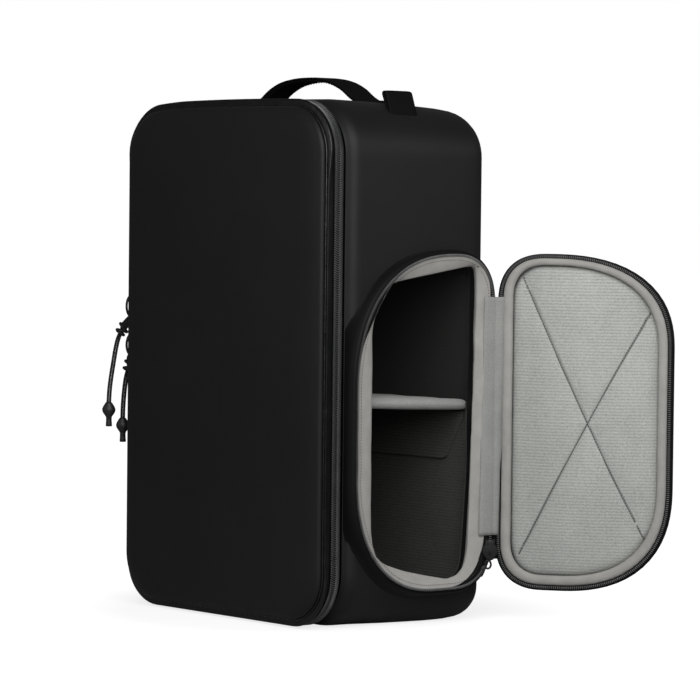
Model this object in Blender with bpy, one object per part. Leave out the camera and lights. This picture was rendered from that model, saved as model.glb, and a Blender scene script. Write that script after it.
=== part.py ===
# Camera backpack standing upright with its side door open.
# Metres, +Z up. The origin is the middle of the base and -Y is the front.

import math

import bmesh
import bpy
from mathutils import Matrix, Vector

# Driving sizes of the bag
WIDTH = 0.290
DEPTH = 0.187
HEIGHT = 0.450
CORNER = 0.048
TOP_DROP = 0.006
GAP = 0.0003
SHELL_WALL = 0.008
LINING_WALL = 0.0017
BACK_ROUND = 0.014
CORNER_STEPS = 6

# The side opening, as depths behind the front face and heights above the ground
OPENING_FRONT = 0.029
OPENING_BEHIND = 0.002
OPENING_REAR = DEPTH - OPENING_BEHIND
OPENING_LOW = 0.030
OPENING_HIGH = 0.320
OPENING_STEPS = 7
ROUNDER = 0.87
HOLE_FRONT = 0.053
HOLE_BEHIND = 0.019
HOLE_REAR = DEPTH - HOLE_BEHIND
HOLE_LOW = 0.041
HOLE_HIGH = 0.308
HOLE_MARGIN = 0.0018
COLLAR_RISE = 0.010
COLLAR_TOP = WIDTH / 2 + COLLAR_RISE
COLLAR_LIP = 0.0022
ZIP_TAPE = 0.005
ZIP_HEIGHT = 0.003
FACING_LIP = 0.004
FACING_DEEP = 0.009

# Corners of the opening and of the hole: across and upright, with the straight parts between them
RIM_CORNER = 0.040
RIM_STRAIGHT = 0.004
RIM_STRAIGHT_LOW = 0.021
RIM_WIDE = OPENING_REAR - OPENING_FRONT - RIM_CORNER
RIM_HIGH = 0.100
RIM_LOW = 0.097
HOLE_CORNER = 0.030
HOLE_STRAIGHT_HIGH = 0.015
HOLE_STRAIGHT_LOW = 0.020
HOLE_WIDE = HOLE_REAR - HOLE_FRONT - HOLE_CORNER
HOLE_CORNER_HIGH = 0.080
HOLE_CORNER_LOW = 0.080

# The door, swung out about its hinge line
HINGE_OUT = 0.013
HINGE_BEHIND = 0.003
HINGE_X = WIDTH / 2 + HINGE_OUT
HINGE_DEPTH = DEPTH + HINGE_BEHIND
HINGE_LENGTH = 0.210
HINGE_RAISED = 0.005
DOOR_TURN = math.radians(34)
DOOR_THICK = 0.013

# Inside
SHELF_TOP = 0.195
SHELF_THICK = 0.009
SHELF_SHORT = 0.0115
SHELF_SAG = 0.005
FLAP_DROP = 0.042
FLAP_THICK = 0.0022

# Webbing, pulls and cords
HANDLE_WIDTH = 0.028
HANDLE_THICK = 0.004
HANDLE_DEPTH = 0.108
HANDLE_RISE = 0.021
HANDLE_REACH = 0.074
HANDLE_FOOT = 0.014
LOOP_WIDTH = 0.030
LOOP_DEPTH = 0.102
LOOP_INSET = 0.019
LOOP_THICK = 0.0016
CORD_WIDE = 0.0044
STRAP_WIDTH = 0.062
STRAP_THICK = 0.009
WEBBING = 0.025
PANEL_WIDTH = 0.148
PANEL_HEIGHT = 0.320
PANEL_CORNER = 0.026
PANEL_MIDDLE = 0.228

BLACK = (0.012, 0.012, 0.013)
LIGHT = (0.50, 0.49, 0.47)
PALE = (0.36, 0.37, 0.36)
DARK = (0.03, 0.03, 0.03)

# Edge of the front lid from its rim to its face: inset from the body's outline, depth
LID_OUTSIDE = [
    (0.0022, 0.0169),
    (0.0020, 0.0140),
    (0.0030, 0.0112),
    (0.0048, 0.0099),
    (0.0090, 0.0096),
    (0.0092, 0.0055),
    (0.0108, 0.0034),
    (0.0145, 0.0018),
    (0.0230, 0.0007),
    (0.0450, 0.0),
]
LID_INSIDE = [
    (0.0300, 0.0062),
    (0.0170, 0.0075),
    (0.0135, 0.0105),
    (0.0080, 0.0140),
    (0.0066, 0.0169),
]
# Band of the front zip: inset, depth
ZIP_BAND = [
    (0.0024, 0.0172),
    (0.0015, 0.0190),
    (0.0015, 0.0225),
    (0.0030, 0.0250),
    (0.0052, 0.0292),
    (0.0082, 0.0292),
    (0.0066, 0.0172),
]
# Main body from its front edge round to the back: inset, depth
BODY_OUTSIDE = [
    (0.0054, 0.0295),
    (0.0024, 0.0315),
    (0.0008, 0.0345),
    (0.0, 0.0390),
    (0.0, DEPTH - BACK_ROUND),
    (0.0018, DEPTH - 0.0075),
    (0.0058, DEPTH - 0.0022),
    (0.0130, DEPTH),
]


def depth_y(depth):
    return depth - DEPTH / 2


def own_material(name, rgb, rough, metal=0.0):
    mat = bpy.data.materials.new(name)
    mat.use_nodes = True
    shader = mat.node_tree.nodes["Principled BSDF"]
    shader.inputs["Base Color"].default_value = (*rgb, 1.0)
    shader.inputs["Roughness"].default_value = rough
    shader.inputs["Metallic"].default_value = metal
    return mat


def finish_object(name, bm, rgb=BLACK, rough=0.6, metal=0.0, matrix=None):
    bmesh.ops.recalc_face_normals(bm, faces=bm.faces)
    if bm.calc_volume(signed=True) < 0:
        bmesh.ops.reverse_faces(bm, faces=bm.faces)
    mesh = bpy.data.meshes.new(name)
    bm.to_mesh(mesh)
    bm.free()
    mesh.shade_smooth()
    mesh.set_sharp_from_angle(angle=math.radians(40))
    obj = bpy.data.objects.new(name, mesh)
    bpy.context.scene.collection.objects.link(obj)
    obj.data.materials.append(own_material(name, rgb, rough, metal))
    if matrix is not None:
        obj.matrix_world = matrix
    return obj


def loft(rings, closed=False, split=False):
    """Skins rings of equal length. Open lofts get a cap at each end. split fixes the diagonals."""
    bm = bmesh.new()
    rows = []
    for ring in rings:
        rows.append([bm.verts.new(p) for p in ring])
    count = len(rows[0])
    pairs = list(zip(rows, rows[1:]))
    if closed:
        pairs.append((rows[-1], rows[0]))
    for a, b in pairs:
        for i in range(count):
            j = (i + 1) % count
            if split:
                bm.faces.new((a[i], a[j], b[j]))
                bm.faces.new((a[i], b[j], b[i]))
            else:
                bm.faces.new((a[i], a[j], b[j], b[i]))
    if not closed:
        bm.faces.new(rows[0])
        bm.faces.new(list(reversed(rows[-1])))
    return bm


def body_outline(inset):
    """The bag's outline from the front, a rounded rectangle, as (x, z) pairs."""
    half = WIDTH / 2 - inset
    top = HEIGHT - inset
    radius = max(CORNER - inset, 0.008)
    points = []
    centres = [
        (half - radius, inset + radius, -90),
        (half - radius, top - radius, 0),
        (radius - half, top - radius, 90),
        (radius - half, inset + radius, 180),
    ]
    for cx, cz, start in centres:
        for step in range(CORNER_STEPS + 1):
            angle = math.radians(start + 90 * step / CORNER_STEPS)
            points.append((cx + radius * math.cos(angle), cz + radius * math.sin(angle)))
    return points


def top_drop(depth, z):
    """How much lower the body's top lies at a depth, as it falls towards the back."""
    start = BODY_OUTSIDE[0][1]
    share = min(max((depth - start) / (DEPTH - start), 0.0), 1.0)
    return TOP_DROP * share * max(z - (HEIGHT - CORNER), 0.0) / CORNER


def body_ring(inset, depth):
    return [(x, depth_y(depth), z - top_drop(depth, z)) for x, z in body_outline(inset)]


def opening_outline(front, rear, low, high, corners):
    """An outline in the side plane as (depth, z) pairs, its corners rounder than ellipses."""
    points = []
    spots = [
        (rear, low, -1, -1, corners["rear"], False),
        (rear, high, -1, 1, corners["rear"], True),
        (front, high, 1, 1, corners["front_high"], False),
        (front, low, 1, -1, corners["front_low"], True),
    ]
    for depth, z, inward, upward, size, backwards in spots:
        wide, tall = size
        cx = depth + inward * wide
        cz = z - upward * tall
        for step in range(OPENING_STEPS + 1):
            angle = math.pi / 2 * step / OPENING_STEPS
            if backwards:
                angle = math.pi / 2 - angle
            across = max(math.sin(angle), 0.0) ** ROUNDER
            along = max(math.cos(angle), 0.0) ** ROUNDER
            points.append((cx - inward * across * wide, cz + upward * along * tall))
    return points


def rim_outline(inset):
    """The opening's outer outline, and the door's, drawn in by inset."""
    corners = {
        "rear": (RIM_CORNER - inset, RIM_CORNER - inset),
        "front_high": (RIM_WIDE - RIM_STRAIGHT - inset, RIM_HIGH - inset),
        "front_low": (RIM_WIDE - RIM_STRAIGHT_LOW - inset, RIM_LOW - inset),
    }
    return opening_outline(
        OPENING_FRONT + inset, OPENING_REAR - inset, OPENING_LOW + inset, OPENING_HIGH - inset, corners
    )


def hole_outline(grow):
    """The clear hole in the side, made larger by grow."""
    corners = {
        "rear": (HOLE_CORNER + grow, HOLE_CORNER + grow),
        "front_high": (HOLE_WIDE - HOLE_STRAIGHT_HIGH + grow, HOLE_CORNER_HIGH + grow),
        "front_low": (HOLE_WIDE - HOLE_STRAIGHT_LOW + grow, HOLE_CORNER_LOW + grow),
    }
    return opening_outline(
        HOLE_FRONT - grow, HOLE_REAR + grow, HOLE_LOW - grow, HOLE_HIGH + grow, corners
    )


def side_ring(outline, x):
    """A ring in the side's plane. x is one value or one for each point."""
    xs = x if isinstance(x, list) else [x] * len(outline)
    return [(px, depth_y(depth), z) for (depth, z), px in zip(outline, xs)]


def body_side_x(depth, z):
    """How far out the body's side lies at a depth and height."""
    rows = BODY_OUTSIDE
    depth = min(max(depth, rows[0][1]), rows[-1][1])
    for (inset_a, depth_a), (inset_b, depth_b) in zip(rows, rows[1:]):
        if depth_a <= depth <= depth_b:
            share = (depth - depth_a) / (depth_b - depth_a)
            break
    a = body_outline(inset_a)
    b = body_outline(inset_b)
    half = len(a) // 2
    side = []
    for (xa, za), (xb, zb) in zip(a[:half], b[:half]):
        side.append((xa + (xb - xa) * share, za + (zb - za) * share))
    for (xa, za), (xb, zb) in zip(side, side[1:]):
        if za <= z <= zb and zb > za:
            return xa + (xb - xa) * (z - za) / (zb - za)
    return side[0][0]


def resting_x(depth, z):
    """The side's furthest reach close to a place, so that a flat facet clears its curve."""
    reach = 0.0022
    return max(body_side_x(depth + a * reach, z + b * reach) for a in (-1, 0, 1) for b in (-1, 0, 1))


def blend(a, b, share):
    return [(pa[0] + (pb[0] - pa[0]) * share, pa[1] + (pb[1] - pa[1]) * share) for pa, pb in zip(a, b)]


def cut(target, cutter):
    cutter.hide_render = True
    cutter.display_type = "WIRE"
    mod = target.modifiers.new("opening", "BOOLEAN")
    mod.operation = "DIFFERENCE"
    mod.solver = "EXACT"
    mod.object = cutter


def sweep_strip(path, width, thick, across=(0, 1, 0), widths=None):
    """A flat strip along a path. across is the direction of its width."""
    rings = []
    side = Vector(across).normalized()
    points = [Vector(p) for p in path]
    for i, point in enumerate(points):
        before = points[max(i - 1, 0)]
        after = points[min(i + 1, len(points) - 1)]
        along = (after - before).normalized()
        normal = side.cross(along).normalized()
        half = (widths[i] if widths else width) / 2
        ring = []
        for u, v in ((-1, -0.5), (-0.94, -1), (0.94, -1), (1, -0.5), (1, 0.5), (0.94, 1), (-0.94, 1), (-1, 0.5)):
            ring.append(point + side * (u * half) + normal * (v * thick / 2))
        rings.append(ring)
    return loft(rings)


def smooth_route(points, count):
    """Points evenly spread along a smooth curve through the given ones."""
    pts = [Vector(p) for p in points]
    dense = []
    for i in range(len(pts) - 1):
        p0 = pts[max(i - 1, 0)]
        p1 = pts[i]
        p2 = pts[i + 1]
        p3 = pts[min(i + 2, len(pts) - 1)]
        for k in range(24):
            t = k / 24
            dense.append(
                0.5
                * (
                    2 * p1
                    + (p2 - p0) * t
                    + (2 * p0 - 5 * p1 + 4 * p2 - p3) * t * t
                    + (3 * p1 - p0 - 3 * p2 + p3) * t ** 3
                )
            )
    dense.append(pts[-1])
    lengths = [0.0]
    for a, b in zip(dense, dense[1:]):
        lengths.append(lengths[-1] + (b - a).length)
    out = []
    j = 0
    for k in range(count):
        want = lengths[-1] * k / (count - 1)
        while j < len(lengths) - 2 and lengths[j + 1] < want:
            j += 1
        span = lengths[j + 1] - lengths[j]
        out.append(dense[j].lerp(dense[j + 1], (want - lengths[j]) / span if span else 0))
    return out


def cord_curve(name, route, diameter, rgb=BLACK):
    curve = bpy.data.curves.new(name, "CURVE")
    curve.dimensions = "3D"
    curve.bevel_depth = diameter / 2
    curve.bevel_resolution = 2
    curve.use_fill_caps = True
    spline = curve.splines.new("POLY")
    spline.points.add(len(route) - 1)
    for point, where in zip(spline.points, route):
        point.co = (*where, 1.0)
    obj = bpy.data.objects.new(name, curve)
    bpy.context.scene.collection.objects.link(obj)
    obj.data.materials.append(own_material(name, rgb, 0.7))
    return obj


def lathe(profile, top, steps=12):
    """A turned piece hanging below a point. profile holds (radius, drop) pairs."""
    rings = []
    for radius, drop in profile:
        ring = []
        for k in range(steps):
            angle = math.tau * k / steps
            ring.append(top + Vector((radius * math.cos(angle), radius * math.sin(angle), -drop)))
        rings.append(ring)
    return loft(rings)


def rounded_slab(width, height, radius, rows, steps=4):
    """A pad with a rounded outline. rows holds (inset, level) pairs from back to front."""
    rings = []
    for inset, level in rows:
        ring = []
        r = max(radius - inset, 0.002)
        hx = width / 2 - inset - r
        hz = height / 2 - inset - r
        for cx, cz, start in ((hx, -hz, -90), (hx, hz, 0), (-hx, hz, 90), (-hx, -hz, 180)):
            for step in range(steps + 1):
                angle = math.radians(start + 90 * step / steps)
                ring.append((cx + r * math.cos(angle), level, cz + r * math.sin(angle)))
        rings.append(ring)
    return loft(rings)


def make_body_shell():
    """Padded wall of the main part: open to the front, with the side hole cut through."""
    back = DEPTH - SHELL_WALL
    rows = [(inset, depth) for inset, depth in BODY_OUTSIDE]
    rows += [
        (SHELL_WALL + 0.0070, back),
        (SHELL_WALL + 0.0020, back - 0.0020),
        (SHELL_WALL, back - 0.0070),
        (SHELL_WALL, 0.0295),
    ]
    turn = len(BODY_OUTSIDE)
    rings = [body_ring(inset, depth) for inset, depth in rows]
    return finish_object("body_shell", dish(rings, turn), BLACK, 0.55)


def dish(rings, turn):
    """Skins a dish: outer rings, then inner ones from the floor up. turn is the first inner ring."""
    bm = bmesh.new()
    rows = [[bm.verts.new(p) for p in ring] for ring in rings]
    count = len(rows[0])
    for k in range(len(rows)):
        a = rows[k]
        b = rows[(k + 1) % len(rows)]
        if k + 1 == turn:
            bm.faces.new(a)
            bm.faces.new(list(reversed(b)))
            continue
        for i in range(count):
            j = (i + 1) % count
            bm.faces.new((a[i], a[j], b[j], b[i]))
    return bm


def make_lining():
    """Thin ribbed lining inside the padded wall."""
    out = SHELL_WALL + GAP
    back = DEPTH - SHELL_WALL - GAP
    thin = LINING_WALL
    rows = [
        (out, 0.0320),
        (out, back - 0.0070),
        (out + 0.0020, back - 0.0020),
        (out + 0.0070, back),
        (out + 0.0070, back - thin),
        (out + thin + 0.0015, back - thin - 0.0015),
        (out + thin, back - 0.0070),
        (out + thin, 0.0320),
    ]
    rings = [body_ring(inset, depth) for inset, depth in rows]
    return finish_object("body_lining", dish(rings, 4), DARK, 0.9)


def side_cutter(name, grow):
    outline = hole_outline(grow)
    side = WIDTH / 2
    bm = loft([side_ring(outline, side - 0.027), side_ring(outline, side + 0.025)])
    return finish_object(name, bm, DARK, 0.9)


def make_front_lid():
    rows = LID_OUTSIDE + LID_INSIDE
    rings = [body_ring(inset, depth) for inset, depth in rows]
    return finish_object("front_lid", dish(rings, len(LID_OUTSIDE)), BLACK, 0.45)


def make_face_piping():
    rings = []
    for k in range(6):
        angle = math.tau * k / 6
        rings.append(body_ring(0.0069 + 0.0014 * math.cos(angle), 0.0077 + 0.0014 * math.sin(angle)))
    return finish_object("face_piping", loft(rings, closed=True), BLACK, 0.3)


def make_front_zip():
    rings = [body_ring(inset, depth) for inset, depth in ZIP_BAND]
    return finish_object("front_zip", loft(rings, closed=True), BLACK, 0.4)


def make_opening():
    """The collar round the side opening, its zip half and the light facing inside it."""
    side = GAP + 0.0003
    valley = BODY_OUTSIDE[0][1] + 0.0013
    outer = [(max(depth, valley), z) for depth, z in rim_outline(-0.003)]
    inner = hole_outline(HOLE_MARGIN)
    side_x = WIDTH / 2
    top = COLLAR_TOP - ZIP_HEIGHT
    rows = []
    for share in (0.0, 0.11, 0.22, 0.33, 0.45, 0.6, 0.8, 1.0):
        outline = blend(outer, inner, share)
        rows.append(side_ring(outline, [resting_x(d, z) + side for d, z in outline]))
    inner_top = side_ring(inner, side_x + COLLAR_LIP)
    shoulder = side_ring(rim_outline(ZIP_TAPE + 2 * GAP), top)
    rim = side_ring(rim_outline(0.0), top)
    edge = side_ring(rim_outline(-0.0016), top - 0.0020)
    collar = loft(rows + [inner_top, shoulder, rim, edge], closed=True, split=True)
    finish_object("opening_collar", collar, BLACK, 0.55)

    low = top + GAP
    rings = [
        side_ring(rim_outline(0.0), low),
        side_ring(rim_outline(ZIP_TAPE), low),
        side_ring(rim_outline(ZIP_TAPE), COLLAR_TOP - 0.0008),
        side_ring(rim_outline(ZIP_TAPE - 0.0015), COLLAR_TOP),
        side_ring(rim_outline(0.0010), COLLAR_TOP),
        side_ring(rim_outline(-0.0004), COLLAR_TOP - 0.0012),
    ]
    finish_object("opening_zip", loft(rings, closed=True), BLACK, 0.4)

    start = rim_outline(ZIP_TAPE + 2 * GAP)
    hole = hole_outline(0.0)
    behind = hole_outline(HOLE_MARGIN - GAP)
    lift = 2 * GAP
    rings = [
        side_ring(start, top + lift),
        side_ring(start, low + 0.0014),
        side_ring(hole, side_x + FACING_LIP),
        side_ring(hole, side_x - FACING_DEEP),
        side_ring(behind, side_x - FACING_DEEP),
        side_ring(behind, side_x + COLLAR_LIP + lift),
        side_ring(inner, side_x + COLLAR_LIP + lift),
    ]
    finish_object("opening_facing", loft(rings, closed=True, split=True), LIGHT, 0.85)


def door_matrix():
    """Places the door: its x runs from the hinge, y is up and z is its inner side."""
    along = Vector((math.cos(DOOR_TURN), math.sin(DOOR_TURN), 0))
    up = Vector((0, 0, 1))
    inner = along.cross(up)
    matrix = Matrix((along, up, inner)).transposed().to_4x4()
    matrix.translation = (HINGE_X, depth_y(HINGE_DEPTH), 0)
    return matrix


def door_ring(inset, level):
    return [(OPENING_REAR - depth, z, level) for depth, z in rim_outline(inset)]


def make_door():
    matrix = door_matrix()
    rows = [
        (0.0010, -0.0033),
        (0.0, -0.0050),
        (0.0, -0.0085),
        (0.0035, -0.0112),
        (0.0120, -DOOR_THICK),
        (0.0083, -0.0086),
        (0.0083, -0.0033),
    ]
    rings = [door_ring(inset, level) for inset, level in rows]
    finish_object("door_shell", dish(rings, 5), BLACK, 0.55, matrix=matrix)

    rings = [
        door_ring(0.0, -0.0030),
        door_ring(-0.0004, -0.0012),
        door_ring(0.0010, 0.0),
        door_ring(ZIP_TAPE - 0.0015, 0.0),
        door_ring(ZIP_TAPE, -0.0008),
        door_ring(ZIP_TAPE, -0.0030),
    ]
    finish_object("door_zip", loft(rings, closed=True), BLACK, 0.4, matrix=matrix)

    start = ZIP_TAPE + GAP
    rings = [
        door_ring(start, -0.0030),
        door_ring(start, -0.0012),
        door_ring(0.0090, -0.0002),
        door_ring(0.0125, -0.0014),
        door_ring(0.0125, -0.0040),
        door_ring(0.0080, -0.0030),
    ]
    finish_object("door_binding", loft(rings, closed=True), LIGHT, 0.85, matrix=matrix)

    rings = [
        door_ring(0.0086, -0.0083),
        door_ring(0.0086, -0.0060),
        door_ring(0.0135, -0.0046),
        door_ring(0.0190, -0.0026),
        door_ring(0.0330, -0.0010),
    ]
    finish_object("door_panel", loft(rings), PALE, 0.9, matrix=matrix)


def make_hinge_strip():
    """Light cloth that joins the collar's rear edge to the door."""
    along = Vector((math.cos(DOOR_TURN), math.sin(DOOR_TURN), 0))
    inner = along.cross(Vector((0, 0, 1)))
    hinge = Vector((HINGE_X, depth_y(HINGE_DEPTH), 0))
    thick = 0.0014
    lift = COLLAR_TOP + GAP + thick / 2
    path = [
        Vector((lift, depth_y(OPENING_REAR - 0.0090), 0)),
        Vector((lift, depth_y(OPENING_REAR - 0.0040), 0)),
        Vector((lift + 0.0007, depth_y(OPENING_REAR + 0.0005), 0)),
        hinge + along * 0.0005 + inner * 0.0022,
        hinge + along * 0.0045 + inner * 0.0012,
        hinge + along * 0.0090 + inner * 0.0012,
    ]
    middle = Vector((0, 0, (OPENING_LOW + OPENING_HIGH) / 2 + HINGE_RAISED))
    bm = sweep_strip([p + middle for p in path], HINGE_LENGTH, thick, across=(0, 0, 1))
    finish_object("hinge_strip", bm, PALE, 0.9)


def make_shelf():
    """Padded divider across the inside, with its fixing flap against the rear wall."""
    wall = SHELL_WALL + GAP + LINING_WALL
    left = -WIDTH / 2 + wall + 0.0005
    right = WIDTH / 2 - SHELF_SHORT
    front = depth_y(0.0325)
    rear = depth_y(DEPTH - wall - 0.0021)
    r = SHELF_THICK / 2
    z = SHELF_TOP - r
    rings = []
    rows = [
        (left, 0.85, 0.0050),
        (left + 0.005, 1.0, 0.0),
        (right - 0.006, 1.0, 0.0),
        (right - 0.0015, 0.8, 0.0035),
        (right, 0.4, 0.0060),
    ]
    low = z - SHELF_SAG
    for x, share, setback in rows:
        h = r * share
        end = rear - setback
        rings.append(
            [
                (x, front + r, z - h),
                (x, end - 0.003, low - h),
                (x, end, low - h * 0.5),
                (x, end, low + h * 0.5),
                (x, end - 0.003, low + h),
                (x, front + r, z + h),
                (x, front + 0.001, z + h * 0.5),
                (x, front + 0.001, z - h * 0.5),
            ]
        )
    finish_object("divider_shelf", loft(rings), PALE, 0.9)

    top = low - r - GAP
    back = depth_y(DEPTH - wall - GAP)
    front = back - FLAP_THICK
    low = top - FLAP_DROP
    end = right - 0.0070
    face = [(-0.095, top), (-0.072, low), (end - 0.0205, low), (end, top - 0.005), (end, top)]
    rings = [[(x, y, h) for x, h in face] for y in (back, front)]
    finish_object("divider_flap", loft(rings), DARK, 0.9)


def make_handle():
    """Webbing arch on the top, flat at both ends."""
    y = depth_y(HANDLE_DEPTH)
    near = HANDLE_DEPTH - HANDLE_WIDTH / 2
    base = HEIGHT - top_drop(near, HEIGHT) + GAP + HANDLE_THICK / 2
    rise = HANDLE_RISE
    reach = HANDLE_REACH
    half = []
    for x, share in ((0.0, 1.0), (0.018, 0.965), (0.035, 0.83), (0.050, 0.56), (0.062, 0.22), (0.071, 0.03)):
        half.append((x, share))
    path = [(-reach - HANDLE_FOOT, y, base), (-reach - 0.002, y, base)]
    for x, share in reversed(half[1:]):
        path.append((-x, y, base + rise * share))
    for x, share in half:
        path.append((x, y, base + rise * share))
    path += [(reach + 0.002, y, base), (reach + HANDLE_FOOT, y, base)]
    bm = sweep_strip(path, HANDLE_WIDTH, HANDLE_THICK, across=(0, 1, 0))
    finish_object("grab_handle", bm, BLACK, 0.7)


def make_side_loop():
    """Folded webbing tab that stands on the top's right shoulder."""
    y = depth_y(LOOP_DEPTH)
    foot = Vector((WIDTH / 2 - LOOP_INSET, y, 0.0))
    foot.z = top_height(foot.x)
    lean = Vector((-0.38, 0, 0.92)).normalized()
    apart = Vector((0.0022, 0, 0))
    outer = foot + apart
    outer.z = top_height(outer.x - 0.0010) + GAP
    inner = foot - apart
    inner.z = top_height(inner.x - 0.0010) + GAP
    path = [
        inner,
        foot - apart + lean * 0.0150,
        foot - apart * 0.6 + lean * 0.0172,
        foot + lean * 0.0182,
        foot + apart * 0.6 + lean * 0.0176,
        foot + apart + lean * 0.0158,
        outer,
    ]
    bm = sweep_strip(path, LOOP_WIDTH, LOOP_THICK, across=(0, 1, 0))
    finish_object("side_loop", bm, BLACK, 0.7)


def top_height(x):
    """Height of the body's top at x, where the side loop's front edge stands."""
    side = body_outline(0.0)[CORNER_STEPS + 1: 2 * CORNER_STEPS + 2]
    for (xa, za), (xb, zb) in zip(side, side[1:]):
        if xb <= x <= xa:
            z = za + (zb - za) * (xa - x) / (xa - xb)
            return z - top_drop(LOOP_DEPTH - LOOP_WIDTH / 2, z)
    return HEIGHT


def slider_body(centre, outward, length, width, height):
    """A zip slider: a rounded wedge that stands on the tape with its long side upright."""
    up = Vector((0, 0, 1))
    across = outward.cross(up).normalized()
    rings = []
    for level, share in ((0.0, 0.85), (0.25, 1.0), (0.65, 0.95), (1.0, 0.6)):
        ring = []
        for u, v in ((-0.7, -1), (0.7, -1), (1, -0.6), (0.8, 0.7), (0.4, 1), (-0.4, 1), (-0.8, 0.7), (-1, -0.6)):
            ring.append(
                centre
                + outward * (height * level)
                + across * (u * share * width / 2)
                + up * (v * share * length / 2)
            )
        rings.append(ring)
    return loft(rings)


def oval_ring(centre, outward, length, width, wire):
    """A flat oval pull ring that hangs with its long side upright."""
    up = Vector((0, 0, 1))
    across = outward.cross(up).normalized()
    rings = []
    for k in range(5):
        angle = math.tau * k / 5 + 0.3
        r = wire / 2 * math.cos(angle)
        lift = wire / 2 * math.sin(angle)
        ring = []
        for step in range(14):
            turn = math.tau * step / 14
            ring.append(
                centre
                + across * ((width / 2 + r) * math.cos(turn))
                + up * ((length / 2 + r) * math.sin(turn))
                + outward * lift
            )
        rings.append(ring)
    return loft(rings, closed=True)


# Free pulls of the front zip: how far out of the left side, how deep and how high each part sits
PULLS = {
    "upper": {
        "slider": (-0.0013, 0.0208, 0.2790),
        "ring": (0.0069, 0.0205, 0.2670),
        "route": [
            (0.0071, 0.0203, 0.2554),
            (0.0106, 0.0160, 0.2490),
            (0.0146, 0.0112, 0.2360),
            (0.0172, 0.0078, 0.2120),
            (0.0185, 0.0056, 0.1930),
            (0.0190, 0.0050, 0.1790),
        ],
    },
    "lower": {
        "slider": (-0.0013, 0.0208, 0.2440),
        "ring": (0.0069, 0.0208, 0.2320),
        "route": [
            (0.0070, 0.0207, 0.2212),
            (0.0076, 0.0196, 0.2140),
            (0.0095, 0.0168, 0.2000),
            (0.0108, 0.0153, 0.1800),
            (0.0112, 0.0150, 0.1650),
        ],
    },
}


def make_pull(which, places):
    outward = Vector((-1, 0, 0))
    left = -WIDTH / 2
    out, depth, z = places["slider"]
    bm = slider_body(Vector((left - out, depth_y(depth), z)), outward, 0.0140, 0.0095, 0.0070)
    finish_object("front_slider_" + which, bm, (0.02, 0.02, 0.02), 0.35, 0.6)
    out, depth, z = places["ring"]
    bm = oval_ring(Vector((left - out, depth_y(depth), z)), outward, 0.0190, 0.0090, 0.0018)
    finish_object("pull_ring_" + which, bm, (0.02, 0.02, 0.02), 0.3, 0.8)
    route = [(left - out, depth_y(depth), z) for out, depth, z in places["route"]]
    points = smooth_route(route, 15)
    cord_curve("pull_cord_" + which, points, CORD_WIDE)
    profile = [
        (0.0022, 0.0),
        (0.0048, 0.0016),
        (0.0060, 0.0048),
        (0.0056, 0.0088),
        (0.0030, 0.0120),
        (0.0027, 0.0132),
        (0.0034, 0.0200),
        (0.0026, 0.0206),
    ]
    end = Vector(route[-1]) + Vector((0, 0, -GAP - 0.0002))
    finish_object("cord_end_" + which, lathe(profile, end, 10), BLACK, 0.5)


def make_door_slider():
    """Slider of the side door's zip, parked under the hinge strip, with its pull tab."""
    outward = Vector((1, 0, 0))
    up = Vector((0, 0, 1))
    across = Vector((0, 1, 0))
    hinge_end = (OPENING_LOW + OPENING_HIGH) / 2 + HINGE_RAISED - HINGE_LENGTH / 2
    centre = Vector((COLLAR_TOP + 0.0004, depth_y(OPENING_REAR - 0.0025), hinge_end - 0.0125))
    bm = slider_body(centre, outward, 0.0150, 0.0115, 0.0048)
    finish_object("door_slider", bm, (0.03, 0.03, 0.03), 0.45)
    at = centre + outward * 0.0014 - up * 0.0162 - across * 0.0020
    rings = []
    for level in (0.0, 0.0022):
        ring = []
        for u, v in ((-0.6, -1), (0.6, -1), (1, -0.7), (1, 0.7), (0.6, 1), (-0.6, 1), (-1, 0.7), (-1, -0.7)):
            ring.append(at + outward * level + across * (u * 0.0045) + up * (v * 0.0080))
        rings.append(ring)
    finish_object("door_pull", loft(rings), (0.03, 0.03, 0.03), 0.45)


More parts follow.
